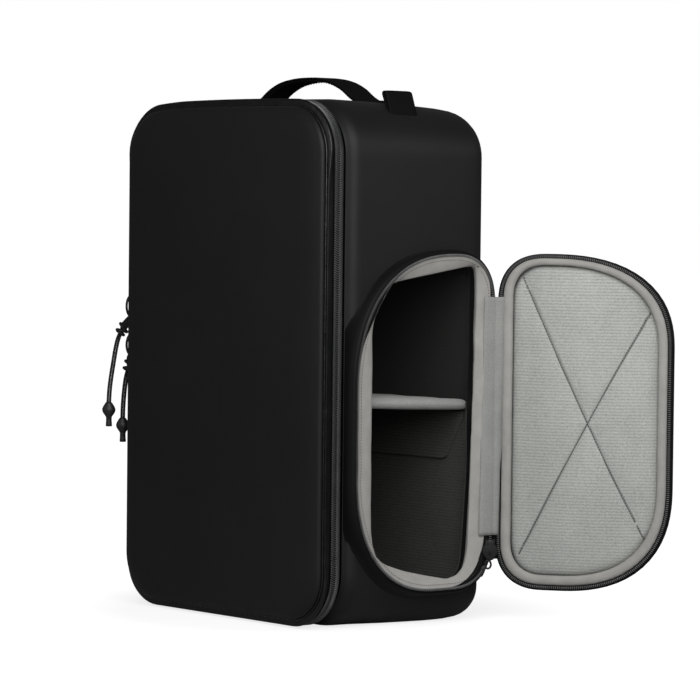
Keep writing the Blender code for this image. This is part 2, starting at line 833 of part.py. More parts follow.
def make_back():
    """Plain padded back panel and shoulder straps on the hidden side."""
    start = depth_y(DEPTH) + GAP
    rows = [(0.0, 0.0), (0.0, 0.003), (0.003, 0.0062), (0.010, 0.0080)]
    bm = rounded_slab(PANEL_WIDTH, PANEL_HEIGHT, PANEL_CORNER, rows)
    bmesh.ops.translate(bm, verts=bm.verts, vec=(0, start, PANEL_MIDDLE))
    finish_object("back_panel", bm, BLACK, 0.85)
    for which, way in (("left", -1), ("right", 1)):
        flat = start + STRAP_THICK / 2
        path = [
            (0.050, flat, 0.4230),
            (0.050, flat, 0.4080),
            (0.051, flat + 0.0055, 0.3960),
            (0.055, flat + 0.0125, 0.3800),
            (0.061, flat + 0.0165, 0.3500),
            (0.068, flat + 0.0170, 0.3000),
            (0.076, flat + 0.0150, 0.2400),
            (0.083, flat + 0.0120, 0.1900),
            (0.086, flat + 0.0110, 0.1650),
        ]
        widths = [0.052, 0.056, 0.060, STRAP_WIDTH, STRAP_WIDTH, STRAP_WIDTH, 0.058, 0.048, 0.040]
        bm = sweep_strip([(way * x, y, z) for x, y, z in path], 0, STRAP_THICK, (1, 0, 0), widths)
        finish_object("shoulder_strap_" + which, bm, BLACK, 0.85)
        buckle = rounded_slab(0.034, 0.030, 0.006, [(0.001, 0.0), (0.0, 0.001), (0.0, 0.004), (0.001, 0.005)], 3)
        place = (way * 0.0875, flat + 0.0085, 0.1496)
        bmesh.ops.translate(buckle, verts=buckle.verts, vec=place)
        finish_object("strap_buckle_" + which, buckle, (0.02, 0.02, 0.02), 0.4)
        web = start + 0.001
        path = [
            (0.0885, flat + 0.0105, 0.1342),
            (0.0930, flat + 0.0085, 0.1150),
            (0.0990, flat + 0.0045, 0.0900),
            (0.1040, web + 0.0035, 0.0680),
            (0.1060, web + 0.0002, 0.0560),
            (0.1070, web, 0.0420),
        ]
        bm = sweep_strip([(way * x, y, z) for x, y, z in path], WEBBING, 0.002, (1, 0, 0))
        finish_object("strap_webbing_" + which, bm, BLACK, 0.7)


def build():
    for obj in list(bpy.data.objects):
        bpy.data.objects.remove(obj, do_unlink=True)
    shell = make_body_shell()
    cut(shell, side_cutter("cutter_wall", 0.0018))
    lining = make_lining()
    cut(lining, side_cutter("cutter_lining", 0.0018))
    make_front_lid()
    make_face_piping()
    make_front_zip()
    make_opening()
    make_door()
    make_hinge_strip()
    make_shelf()
    make_handle()
    make_side_loop()
    for which, places in PULLS.items():
        make_pull(which, places)
    make_door_slider()
    make_back()


build()
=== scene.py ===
import math

import bmesh
import bpy
import numpy as np
from mathutils import Matrix, Vector, noise
from mathutils.bvhtree import BVHTree


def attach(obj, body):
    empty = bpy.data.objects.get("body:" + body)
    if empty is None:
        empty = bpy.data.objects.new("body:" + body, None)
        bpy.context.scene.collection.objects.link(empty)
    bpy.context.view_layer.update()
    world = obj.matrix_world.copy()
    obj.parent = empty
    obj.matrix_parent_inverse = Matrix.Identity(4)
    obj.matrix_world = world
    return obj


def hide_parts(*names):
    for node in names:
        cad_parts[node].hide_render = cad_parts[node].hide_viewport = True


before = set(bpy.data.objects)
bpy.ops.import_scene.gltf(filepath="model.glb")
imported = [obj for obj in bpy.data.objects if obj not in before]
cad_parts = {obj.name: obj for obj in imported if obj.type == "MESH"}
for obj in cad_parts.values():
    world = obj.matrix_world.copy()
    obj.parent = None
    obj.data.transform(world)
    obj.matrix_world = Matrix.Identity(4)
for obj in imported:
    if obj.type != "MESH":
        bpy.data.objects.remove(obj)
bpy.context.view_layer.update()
ROOT = "root"

# Sizes of the bag, in metres, as in the CAD part
WIDTH = 0.290
DEPTH = 0.187
HEIGHT = 0.450
CORNER = 0.048
TOP_DROP = 0.006
BASE_CORNER = 0.030
HINGE_X = 0.158
HINGE_DEPTH = 0.190
DOOR_TURN = math.radians(34)
SIDE = WIDTH / 2
WALL = 0.0083
LINING = 0.0017
FRONT_JOIN = 0.0303
DOOR_START = 0.185
STRAND_WIDE = 0.0022

# Directions
UP = np.array([0, 0, 1.0])
DOOR_ALONG = np.array([math.cos(DOOR_TURN), math.sin(DOOR_TURN), 0])
DOOR_INNER = np.array([math.sin(DOOR_TURN), -math.cos(DOOR_TURN), 0])
VIEW_RIGHT = np.array([math.cos(math.radians(50)), math.sin(math.radians(50)), 0])
VIEW_DEPTH = np.array([-0.766, 0.643, 0])

# Zip teeth of the door and of the opening: spacing along the line, then length, width and height
TEETH_APART = 0.0017
TEETH = (0.0024, 0.0009, 0.0013)


def depth_y(depth):
    return depth - DEPTH / 2


def place_object(name, data):
    obj = bpy.data.objects.new(name, data)
    bpy.context.scene.collection.objects.link(obj)
    return obj


def mesh_of(name, verts, faces):
    """A mesh with its normals turned outwards."""
    mesh = bpy.data.meshes.new(name)
    mesh.from_pydata([tuple(map(float, v)) for v in verts], [], [tuple(map(int, f)) for f in faces])
    mesh.validate()
    bm = bmesh.new()
    bm.from_mesh(mesh)
    bmesh.ops.recalc_face_normals(bm, faces=bm.faces)
    bm.to_mesh(mesh)
    bm.free()
    return mesh


# Camera, lights and floor
def set_camera():
    cam = bpy.data.cameras.new("camera")
    cam.lens = 174.5
    cam.sensor_width = 36.0
    cam.clip_end = 50.0
    obj = place_object("camera", cam)
    azimuth = math.radians(50.0)
    pitch = math.radians(2.26)
    roll = math.radians(0.62)
    level = math.cos(pitch)
    back = Vector((math.sin(azimuth) * level, -math.cos(azimuth) * level, math.sin(pitch)))
    right = Vector((math.cos(azimuth), math.sin(azimuth), 0))
    up = back.cross(right)
    c, s = math.cos(roll), math.sin(roll)
    right, up = c * right + s * up, c * up - s * right
    matrix = Matrix((right, up, back)).transposed().to_4x4()
    matrix.translation = (2.3288, -1.8020 - DEPTH / 2, 0.35055)
    obj.matrix_world = matrix
    bpy.context.scene.camera = obj


def set_world():
    world = bpy.data.worlds.new("studio")
    bpy.context.scene.world = world
    world.use_nodes = True
    nodes = world.node_tree.nodes
    links = world.node_tree.links
    nodes.clear()
    out = nodes.new("ShaderNodeOutputWorld")
    mix = nodes.new("ShaderNodeMixShader")
    ray = nodes.new("ShaderNodeLightPath")
    fill = nodes.new("ShaderNodeBackground")
    fill.inputs["Color"].default_value = (1, 1, 1, 1)
    fill.inputs["Strength"].default_value = 0.07
    white = nodes.new("ShaderNodeBackground")
    white.inputs["Color"].default_value = (1, 1, 1, 1)
    white.inputs["Strength"].default_value = 1.0
    links.new(ray.outputs["Is Camera Ray"], mix.inputs["Fac"])
    links.new(fill.outputs[0], mix.inputs[1])
    links.new(white.outputs[0], mix.inputs[2])
    links.new(mix.outputs[0], out.inputs["Surface"])
    view = bpy.context.scene.view_settings
    view.view_transform = "Standard"
    view.look = "None"
    view.exposure = 0.0
    view.gamma = 1.0


def add_area(name, azimuth, elevation, distance, width, height, power):
    """A flat light turned to the bag's middle. Azimuth 0 stands at -Y, 90 at +X."""
    light = bpy.data.lights.new(name, "AREA")
    light.shape = "RECTANGLE"
    light.size = width
    light.size_y = height
    light.energy = power
    obj = place_object(name, light)
    a = math.radians(azimuth)
    e = math.radians(elevation)
    where = Vector((math.sin(a) * math.cos(e), -math.cos(a) * math.cos(e), math.sin(e)))
    obj.location = Vector((0, 0, 0.22)) + where * distance
    obj.rotation_euler = where.to_track_quat("Z", "Y").to_euler()


def make_floor():
    """A pale floor. Away from the bag it looks white to the camera, but lights nothing. Near the bag it is
    dimmed to 0.80: a painted shadow.
    """
    bm = bmesh.new()
    half = 14.0
    corners = [(-half, -half), (half, -half), (half, half), (-half, half)]
    bm.faces.new([bm.verts.new((x, y, -0.0004)) for x, y in corners])
    mesh = bpy.data.meshes.new("floor")
    bm.to_mesh(mesh)
    bm.free()
    obj = place_object("floor", mesh)
    m = Nodes("pale_floor")
    m.shader.inputs["Base Color"].default_value = (0.35, 0.35, 0.35, 1)
    m.shader.inputs["Emission Color"].default_value = (1, 1, 1, 1)
    m.set(rough=0.6, spec=0.1)
    # Painted shadow: the camera-only emission falls from 1.0 beyond 0.27 m of the bag's middle to 0.80 within
    # 0.15 m.
    far = m.add("ShaderNodeVectorMath", operation="LENGTH")
    m.link(m.coord.outputs["Object"], far.inputs[0])
    reach = m.add("ShaderNodeMapRange")
    for socket, value in (("From Min", 0.15), ("From Max", 0.27), ("To Min", 0.80), ("To Max", 1.0)):
        reach.inputs[socket].default_value = value
    m.link(far.outputs["Value"], reach.inputs["Value"])
    ray = m.add("ShaderNodeLightPath")
    glow_with_painted_shadow = m.math("MULTIPLY", ray.outputs["Is Camera Ray"], reach.outputs[0])
    m.link(glow_with_painted_shadow, m.shader.inputs["Emission Strength"])
    mesh.materials.append(m.mat)


# Materials
class Nodes:
    """Short names for building a material."""

    def __init__(self, name):
        self.mat = bpy.data.materials.new(name)
        self.mat.use_nodes = True
        self.tree = self.mat.node_tree
        self.shader = self.tree.nodes["Principled BSDF"]
        self.coord = self.tree.nodes.new("ShaderNodeTexCoord")

    def add(self, kind, **values):
        node = self.tree.nodes.new(kind)
        for key, value in values.items():
            setattr(node, key, value)
        return node

    def link(self, a, b):
        self.tree.links.new(a, b)

    def math(self, op, a, b=None, c=None):
        node = self.add("ShaderNodeMath", operation=op)
        for i, v in enumerate((a, b, c)):
            if v is None:
                continue
            if isinstance(v, (int, float)):
                node.inputs[i].default_value = v
            else:
                self.link(v, node.inputs[i])
        return node.outputs[0]

    def axis(self, which):
        split = self.add("ShaderNodeSeparateXYZ")
        self.link(self.coord.outputs["Object"], split.inputs[0])
        return split.outputs[which]

    def mix(self, a, b, share):
        """share of b with the rest of a."""
        return self.math("ADD", self.math("MULTIPLY", a, 1 - share), self.math("MULTIPLY", b, share))

    def noise(self, scale, detail=3.0, rough=0.55, stretch=None):
        tex = self.add("ShaderNodeTexNoise")
        tex.inputs["Scale"].default_value = scale
        tex.inputs["Detail"].default_value = detail
        tex.inputs["Roughness"].default_value = rough
        if stretch:
            place = self.add("ShaderNodeMapping")
            place.inputs["Scale"].default_value = stretch
            self.link(self.coord.outputs["Object"], place.inputs[0])
            self.link(place.outputs[0], tex.inputs["Vector"])
        else:
            self.link(self.coord.outputs["Object"], tex.inputs["Vector"])
        return tex.outputs["Fac"]

    def ripple(self, value, period, phase=None):
        """A sine from 0 to 1 along a coordinate."""
        turns = self.math("MULTIPLY", value, math.tau / period)
        if phase is not None:
            turns = self.math("ADD", turns, phase)
        wave = self.math("SINE", turns)
        return self.math("MULTIPLY_ADD", wave, 0.5, 0.5)

    def ramp(self, value, stops):
        node = self.add("ShaderNodeValToRGB")
        band = node.color_ramp
        while len(band.elements) < len(stops):
            band.elements.new(0.5)
        for element, (place, colour) in zip(band.elements, stops):
            element.position = place
            element.color = (*colour, 1.0)
        self.link(value, node.inputs[0])
        return node.outputs["Color"]

    def span(self, value, low, high):
        node = self.add("ShaderNodeMapRange")
        node.inputs["To Min"].default_value = low
        node.inputs["To Max"].default_value = high
        self.link(value, node.inputs["Value"])
        return node.outputs[0]

    def bump(self, height, strength, distance, normal=None):
        node = self.add("ShaderNodeBump")
        node.inputs["Strength"].default_value = strength
        node.inputs["Distance"].default_value = distance
        self.link(height, node.inputs["Height"])
        if normal is not None:
            self.link(normal, node.inputs["Normal"])
        return node.outputs["Normal"]

    def colour(self, colour):
        self.link(colour, self.shader.inputs["Base Color"])

    def wear(self, normal):
        self.link(normal, self.shader.inputs["Normal"])

    def set(self, **values):
        for key, value in values.items():
            name = {
                "rough": "Roughness",
                "metal": "Metallic",
                "spec": "Specular IOR Level",
                "sheen": "Sheen Weight",
                "sheen_rough": "Sheen Roughness",
            }[key]
            self.shader.inputs[name].default_value = value


def coated_cloth(name, base=(0.0068, 0.0068, 0.0071), rough=(0.44, 0.56), spec=0.26):
    m = Nodes(name)
    grain = m.noise(2400, 2.0)
    broad = m.noise(9, 3.0)
    dark = tuple(c * 0.85 for c in base)
    pale = tuple(c * 1.2 for c in base)
    m.colour(m.ramp(broad, [(0.3, dark), (0.7, pale)]))
    m.link(m.span(m.noise(40, 4.0), *rough), m.shader.inputs["Roughness"])
    soft = m.bump(broad, 0.25, 0.004)
    m.wear(m.bump(grain, 0.18, 0.00012, soft))
    m.set(spec=spec, sheen=0.02)
    return m.mat


def gloss_cloth(name, rough=0.26, spec=0.40):
    m = Nodes(name)
    m.colour(m.ramp(m.noise(60), [(0.3, (0.003, 0.003, 0.0032)), (0.7, (0.006, 0.006, 0.0063))]))
    m.link(m.span(m.noise(120, 3.0), rough, rough + 0.14), m.shader.inputs["Roughness"])
    pleat = m.bump(m.noise(260, 3.0, 0.6, (1.0, 1.0, 0.35)), 0.5, 0.0009)
    m.wear(m.bump(m.noise(900, 3.0), 0.25, 0.0002, pleat))
    m.set(spec=spec)
    return m.mat


def webbing(name, along="x", base=0.0048):
    """Woven ribs across and along the band."""
    m = Nodes(name)
    a = m.ripple(m.axis(0 if along == "x" else 2), 0.0016)
    b = m.ripple(m.axis(1), 0.0011)
    weave = m.math("MULTIPLY", a, b)
    fuzz = m.noise(900, 3.0)
    mixed = m.mix(weave, fuzz, 0.3)
    m.colour(m.ramp(mixed, [(0.1, (base * 0.45,) * 3), (0.8, (base * 1.5,) * 3)]))
    m.wear(m.bump(mixed, 0.6, 0.0004))
    m.set(rough=0.78, spec=0.10)
    return m.mat


def ribbed(name, low, high, split=None):
    """Brushed lining with level ribs. Over the height split it is painted nearly black: painted shade."""
    m = Nodes(name)
    slow = m.math("MULTIPLY", m.noise(55, 3.0), 1.6)
    fine = m.math("MULTIPLY", m.noise(420, 2.0), 2.2)
    wobble = m.math("ADD", slow, fine)
    rib = m.ripple(m.axis(2), 0.0027, wobble)
    mixed = m.mix(m.mix(rib, m.noise(820, 4.0, 0.75), 0.85), m.noise(30, 3.0), 0.15)
    colour = m.ramp(mixed, [(0.30, low), (0.68, high)])
    if split is not None:
        # Painted shade: over the split height the lining colour turns nearly black.
        painted_shade_mix = m.add("ShaderNodeMix", data_type="RGBA")
        shade_above_split = m.add("ShaderNodeMapRange")
        shade_above_split.inputs["From Min"].default_value = split - 0.004
        shade_above_split.inputs["From Max"].default_value = split + 0.004
        m.link(m.axis(2), shade_above_split.inputs["Value"])
        m.link(shade_above_split.outputs[0], painted_shade_mix.inputs[0])
        m.link(colour, painted_shade_mix.inputs[6])
        m.link(m.ramp(mixed, [(0.15, (0.003,) * 3), (0.8, (0.009, 0.009, 0.0085))]), painted_shade_mix.inputs[7])
        colour = painted_shade_mix.outputs[2]
    m.colour(colour)
    m.wear(m.bump(mixed, 0.8, 0.00036))
    m.set(rough=0.92, spec=0.1, sheen=0.1, sheen_rough=0.6)
    return m.mat


def fleece(name, low, high, scale=900.0, sheen=0.25):
    """Short-pile cloth without ribs."""
    m = Nodes(name)
    mixed = m.mix(m.noise(scale, 4.0, 0.75), m.noise(45, 3.0), 0.25)
    m.colour(m.ramp(mixed, [(0.25, low), (0.75, high)]))
    m.wear(m.bump(mixed, 0.9, 0.0006))
    m.set(rough=0.95, spec=0.08, sheen=sheen, sheen_rough=0.5)
    return m.mat


def plain_cloth(name, low, high):
    """Smooth woven facing cloth."""
    m = Nodes(name)
    thread = m.noise(2600, 2.0, 0.6)
    fold = m.noise(70, 3.0, 0.5)
    m.colour(m.ramp(m.mix(thread, fold, 0.55), [(0.25, low), (0.75, high)]))
    soft = m.bump(fold, 0.35, 0.0025)
    m.wear(m.bump(thread, 0.35, 0.0002, soft))
    m.set(rough=0.82, spec=0.15, sheen=0.1)
    return m.mat


def mesh_cloth(name):
    """Black spacer mesh for the back: a grid of small round cells."""
    m = Nodes(name)
    cells = m.add("ShaderNodeTexVoronoi")
    cells.inputs["Scale"].default_value = 420.0
    m.link(m.coord.outputs["Object"], cells.inputs["Vector"])
    m.colour(m.ramp(cells.outputs["Distance"], [(0.15, (0.004,) * 3), (0.6, (0.020, 0.020, 0.021))]))
    m.wear(m.bump(cells.outputs["Distance"], 0.8, 0.0009))
    m.set(rough=0.85, spec=0.2, sheen=0.1)
    return m.mat


def moulded(name, base, rough=0.4, spec=0.4, metal=0.0):
    m = Nodes(name)
    m.colour(m.ramp(m.noise(90), [(0.3, tuple(c * 0.8 for c in base)), (0.7, tuple(c * 1.2 for c in base))]))
    m.link(m.span(m.noise(500, 2.0), rough - 0.06, rough + 0.08), m.shader.inputs["Roughness"])
    m.wear(m.bump(m.noise(1600, 2.0), 0.15, 0.0001))
    m.set(spec=spec, metal=metal)
    return m.mat


def braided(name):
    m = Nodes(name)
    a = m.ripple(m.math("ADD", m.axis(2), m.axis(0)), 0.0011)
    b = m.ripple(m.math("SUBTRACT", m.axis(2), m.axis(1)), 0.0011)
    weave = m.math("MAXIMUM", a, b)
    m.colour(m.ramp(weave, [(0.2, (0.004,) * 3), (0.9, (0.016,) * 3)]))
    m.wear(m.bump(weave, 0.5, 0.0003))
    m.set(rough=0.6, spec=0.3)
    return m.mat


MATS = {
    "coat": coated_cloth("coated_black"),
    "side": coated_cloth("coated_black_side", rough=(0.46, 0.58)),
    "gusset": gloss_cloth("gusset_gloss"),
    "piping": gloss_cloth("piping_gloss", 0.2, 0.6),
    # A darker copy of the coated black, used for the collar and the door's back; its darker base colour is
    # painted shade.
    "collar": coated_cloth("coated_black_painted_shade", (0.0045, 0.0045, 0.0048), (0.48, 0.6), 0.14),
    "tape": moulded("zip_tape_black", (0.0035, 0.0035, 0.0037), 0.66, 0.14),
    # The black zip teeth and coil get a grey base colour so they show as light dots: painted highlight.
    "teeth": moulded("zip_teeth_painted_glint", (0.13, 0.13, 0.131), 0.30, 0.6),
    "coil": moulded("zip_coil_painted_glint", (0.075, 0.075, 0.076), 0.34, 0.6),
    "thread": moulded("thread_black", (0.014, 0.014, 0.014), 0.7, 0.2),
    # Darker fleece for the door pad's quilt grooves: painted shade.
    "seam": fleece("quilt_groove_painted_shade", (0.17, 0.173, 0.166), (0.33, 0.335, 0.32), 900.0, 0.1),
    "thread_grey": moulded("thread_grey", (0.055, 0.055, 0.053), 0.8, 0.1),
    "web": webbing("webbing_black"),
    "web_up": webbing("webbing_upright", "z"),
    # The inner lining is a darker copy of the pale ribbed lining: painted shade for the inside of the bag.
    "lining": ribbed("lining_painted_shade", (0.018, 0.018, 0.0165), (0.062, 0.062, 0.058), split=0.186),
    "panel": ribbed("lining_pale", (0.27, 0.279, 0.265), (0.60, 0.613, 0.583)),
    "shelf": fleece("shelf_fleece", (0.20, 0.20, 0.196), (0.44, 0.44, 0.432)),
    "strip": fleece("strip_fleece", (0.215, 0.22, 0.21), (0.43, 0.434, 0.415), 1100.0, 0.1),
    "facing": plain_cloth("facing_warm", (0.31, 0.30, 0.283), (0.44, 0.428, 0.404)),
    "cord": braided("cord_braid"),
    "rubber": moulded("cord_end_rubber", (0.016, 0.016, 0.016), 0.42, 0.4),
    "metal": moulded("slider_metal", (0.03, 0.03, 0.031), 0.3, 0.6, 0.75),
    "plastic": moulded("puller_plastic", (0.010, 0.010, 0.0105), 0.42, 0.35),
    "mesh": mesh_cloth("back_mesh"),
}


# Mesh helpers
def new_piece(name, verts, faces, mats, picks=None, smooth=True):
    """A visible piece. picks gives each face its place in mats."""
    mesh = mesh_of(name, verts, faces)
    for mat in mats:
        mesh.materials.append(MATS[mat])
    if picks is not None:
        mesh.polygons.foreach_set("material_index", np.asarray(picks, dtype=np.int32))
    if smooth:
        mesh.shade_smooth()
    mesh.update()
    obj = place_object(name, mesh)
    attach(obj, ROOT)
    return obj


def skin(rings, wrap=False, caps=False, open_ring=False, turn=None):
    """Verts and quads over rings of equal length. wrap joins the last ring to the first.

    Between the ring before turn and the ring turn, both are closed instead of joined."""
    rings = np.asarray(rings, dtype=float)
    rows, count = rings.shape[:2]
    faces = []
    for r in range(rows if wrap else rows - 1):
        s = (r + 1) % rows
        if s == turn:
            faces.append(tuple(r * count + i for i in range(count)))
            faces.append(tuple(s * count + i for i in reversed(range(count))))
            continue
        for i in range(count - 1 if open_ring else count):
            j = (i + 1) % count
            faces.append((r * count + i, r * count + j, s * count + j, s * count + i))
    if caps:
        faces.append(tuple(range(count)))
        faces.append(tuple((rows - 1) * count + i for i in reversed(range(count))))
    return rings.reshape(-1, 3), faces


def last_ring(rings):
    """The face that closes the last ring."""
    rows, count = np.shape(rings)[:2]
    return tuple((rows - 1) * count + i for i in range(count))


def rounded(angle, power):
    """A point of a circle drawn out towards a square; the lower the power, the squarer."""
    c, s = math.cos(angle), math.sin(angle)
    return np.sign(c) * abs(c) ** power, np.sign(s) * abs(s) ** power


def turns(count):
    """Angles at equal steps round a circle."""
    return np.linspace(0, math.tau, count, endpoint=False)


def waved(rings, way, height, scale, seed, stretch=(1, 1, 1)):
    """Moves a surface to and fro by slow noise."""
    rings = np.asarray(rings, dtype=float)
    flat = rings.reshape(-1, 3)
    wave = height * ripple_field(flat * np.array(stretch), scale, seed)
    return (flat + np.array(way) * wave[:, None]).reshape(rings.shape)


def base_corner(depth):
    """Radius of the bag's low corners, which are squarer towards the back."""
    t = np.clip((depth - 0.050) / 0.110, 0, 1)
    return CORNER + (BASE_CORNER - CORNER) * t * t * (3 - 2 * t)


def body_outline(inset, low=CORNER, corner_steps=14, cell=0.006):
    """The bag's outline from the front as (x, z) pairs, with points along its straight sides too."""
    high = max(CORNER - inset, 0.004)
    low = max(low - inset, 0.004)
    half = SIDE - inset
    top = HEIGHT - inset
    across = int((SIDE - CORNER) * 2 / cell)
    upright = int((HEIGHT - 2 * CORNER) / cell)
    out = []
    spots = [
        (half - low, inset + low, -90, upright, low),
        (half - high, top - high, 0, across, high),
        (high - half, top - high, 90, upright, high),
        (low - half, inset + low, 180, across, low),
    ]
    for k, (cx, cz, start, run, radius) in enumerate(spots):
        arc = []
        for step in range(corner_steps + 1):
            angle = math.radians(start + 90 * step / corner_steps)
            arc.append((cx + radius * math.cos(angle), cz + radius * math.sin(angle)))
        out.extend(arc)
        nx, nz, nstart, _, nradius = spots[(k + 1) % 4]
        angle = math.radians(nstart)
        end = (nx + nradius * math.cos(angle), nz + nradius * math.sin(angle))
        for step in range(1, run):
            t = step / run
            out.append((arc[-1][0] + (end[0] - arc[-1][0]) * t, arc[-1][1] + (end[1] - arc[-1][1]) * t))
    return np.array(out)


def top_drop(depth, z):
    share = np.clip((depth - 0.0295) / (DEPTH - 0.0295), 0, 1)
    return TOP_DROP * share * np.maximum(z - (HEIGHT - CORNER), 0) / CORNER


def lid_lean(x, z, depth):
    """Small moves of the stuffed front: its top is crowned and its face leans to the right."""
    near = np.clip(1 - depth / 0.100, 0, 1)
    high = np.clip((z - (HEIGHT - 0.070)) / 0.070, 0, 1)
    side = np.clip((-x - 0.060) / 0.075, 0, 1)
    rise = 0.0022 * (1 - np.minimum(np.abs(x) / 0.125, 1) ** 2) - 0.0048 * side ** 1.5
    shift = 0.0022 * np.clip(1 - (depth - 0.002) / 0.010, 0, 1)
    return shift, near * high * rise


def body_ring(inset, depth):
    flat = body_outline(inset, base_corner(depth))
    x, z = flat[:, 0], flat[:, 1] - top_drop(depth, flat[:, 1])
    dx, dz = lid_lean(x, z, depth)
    return np.column_stack([x + dx, np.full(len(flat), depth_y(depth)), z + dz])


def corner_outline(front, rear, low, high, corners, power, steps=22):
    """Outline in the side plane as (depth, z), with soft corners and points along the sides."""
    spots = [
        (rear, low, -1, -1, corners[0], False),
        (rear, high, -1, 1, corners[0], True),
        (front, high, 1, 1, corners[1], False),
        (front, low, 1, -1, corners[2], True),
    ]
    arcs = []
    for depth, z, inward, upward, (wide, tall), backwards in spots:
        t = np.linspace(0, 1, steps + 1)
        t = math.pi / 2 * t ** 2 * (3 - 2 * t)
        if backwards:
            t = t[::-1]
        across = np.maximum(np.sin(t), 0) ** power
        along = np.maximum(np.cos(t), 0) ** power
        cx = depth + inward * wide
        cz = z - upward * tall
        arcs.append(np.column_stack([cx - inward * across * wide, cz + upward * along * tall]))
    runs = [34, 14, 22, 14]
    out = []
    for k, arc in enumerate(arcs):
        out.extend(arc)
        end = arcs[(k + 1) % 4][0]
        for step in range(1, runs[k]):
            out.append(arc[-1] + (end - arc[-1]) * step / runs[k])
    return np.array(out)


def rim(inset):
    """Outline of the side opening."""
    sizes = ((0.0445, 0.0445), (0.110, 0.118), (0.0915, 0.1035))
    corners = [(wide - inset, tall - inset) for wide, tall in sizes]
    return corner_outline(0.0288 + inset, 0.1855 - inset, 0.0287 + inset, 0.3205 - inset, corners, 0.865)


def door_rim(inset):
    """Outline of the door, which has bent a little out of the opening's."""
    upper = inset * 0.74
    corners = [
        (0.042 - inset, 0.042 - inset), (0.108 - inset, 0.0815 - upper), (0.098 - inset, 0.0915 - inset),
    ]
    return corner_outline(0.0336 + inset, 0.1873 - inset, 0.0286 + inset, 0.3192 - upper, corners, 0.83)


# Inner edge of the facing, nearly straight-sided, as (depth, z)
HOLE_EDGE = [
    (0.0515, 0.110), (0.0515, 0.200), (0.0510, 0.291), (0.068, 0.2938), (0.115, 0.3015), (0.160, 0.3085),
    (0.1680, 0.3085), (0.1692, 0.3030), (0.1694, 0.279), (0.1665, 0.190), (0.1635, 0.090), (0.1620, 0.060),
    (0.1580, 0.0480), (0.1500, 0.0410), (0.1385, 0.0385), (0.114, 0.0430), (0.090, 0.0480), (0.066, 0.0555),
    (0.0560, 0.0635), (0.0520, 0.080),
]
HOLE_CENTRE = (0.108, 0.175)


def reach_of(polygon, angles):
    """Distance from the hole's centre to a closed line, at angles."""
    rel = polygon - np.array(HOLE_CENTRE)
    turn = np.unwrap(np.arctan2(rel[:, 1], rel[:, 0]))
    order = np.argsort(np.mod(turn, math.tau))
    around = np.mod(turn, math.tau)[order]
    far = np.hypot(rel[:, 0], rel[:, 1])[order]
    around = np.concatenate([around - math.tau, around, around + math.tau])
    far = np.concatenate([far, far, far])
    return np.interp(np.mod(angles, math.tau), around, far)


def dense(points, per=14):
    pts = np.asarray(points, dtype=float)
    after = np.roll(pts, -1, axis=0)
    t = np.linspace(0, 1, per, endpoint=False)[:, None, None]
    return (pts[None] + (after - pts)[None] * t).transpose(1, 0, 2).reshape(-1, 2)


def tape_edge(inset):
    """Where the black tape ends, wider in the high front corner and along the back."""
    flat = rim(inset)
    rel = flat - np.array(HOLE_CENTRE)
    turn = np.degrees(np.arctan2(rel[:, 1], rel[:, 0]))
    more = 0.0048 * np.exp(-(((turn - 122) / 12.5) ** 2))
    ease_in = np.clip((turn + 80) / 23, 0, 1)
    ease_out = np.clip((61 - turn) / 16, 0, 1)
    more = more + 0.0100 * ease_in ** 2 * (3 - 2 * ease_in) * ease_out ** 2 * (3 - 2 * ease_out)
    return flat - rel / np.hypot(rel[:, 0], rel[:, 1])[:, None] * more[:, None]


def hole(grow):
    """Inner edge of the facing, made larger by grow, and always inside the zip's line."""
    start = tape_edge(0.0036)
    rel = start - np.array(HOLE_CENTRE)
    angles = np.arctan2(rel[:, 1], rel[:, 0])
    limit = np.hypot(rel[:, 0], rel[:, 1])
    round_trip = turns(720)
    want = reach_of(dense(HOLE_EDGE), round_trip)
    for _ in range(4):
        want = (np.roll(want, 1) + want + np.roll(want, -1)) / 3
    want = np.interp(angles, round_trip, want, period=math.tau)
    far = np.minimum(want + grow, limit - 0.0009 + min(grow, 0.0) * 0.3)
    return np.array(HOLE_CENTRE) + rel / limit[:, None] * far[:, None]


def side_ring(flat, x):
    xs = np.broadcast_to(np.asarray(x, dtype=float), (len(flat),))
    return np.column_stack([xs, depth_y(flat[:, 0]), flat[:, 1]])


def door_point(u, z, w):
    """A point of the door: u from its hinge, w out of its inner side."""
    u, z, w = np.broadcast_arrays(np.asarray(u, float), np.asarray(z, float), np.asarray(w, float))
    x = HINGE_X + DOOR_ALONG[0] * u + DOOR_INNER[0] * w
    y = depth_y(HINGE_DEPTH) + DOOR_ALONG[1] * u + DOOR_INNER[1] * w
    return np.stack([x, y, z], axis=-1)


def door_ring(inset, level):
    flat = door_rim(inset)
    return door_point(DOOR_START - flat[:, 0], flat[:, 1], level)


def evenly(points, spacing, closed=True):
    """Points at equal spacing along a line, with the direction at each."""
    pts = np.asarray(points, dtype=float)
    if closed:
        pts = np.vstack([pts, pts[:1]])
    seg = np.linalg.norm(np.diff(pts, axis=0), axis=1)
    keep = np.concatenate([[True], seg > 1e-9])
    pts = pts[keep]
    seg = np.linalg.norm(np.diff(pts, axis=0), axis=1)
    run = np.concatenate([[0], np.cumsum(seg)])
    count = max(int(run[-1] / spacing), 2)
    at = np.arange(count) * run[-1] / count if closed else np.linspace(0, run[-1], count)
    where = np.column_stack([np.interp(at, run, pts[:, k]) for k in range(3)])
    step = min(spacing * 0.5, run[-1] / 20)
    ahead = np.column_stack([np.interp(np.minimum(at + step, run[-1]), run, pts[:, k]) for k in range(3)])
    behind = np.column_stack([np.interp(np.maximum(at - step, 0), run, pts[:, k]) for k in range(3)])
    along = ahead - behind
    along /= np.linalg.norm(along, axis=1)[:, None]
    return where, along


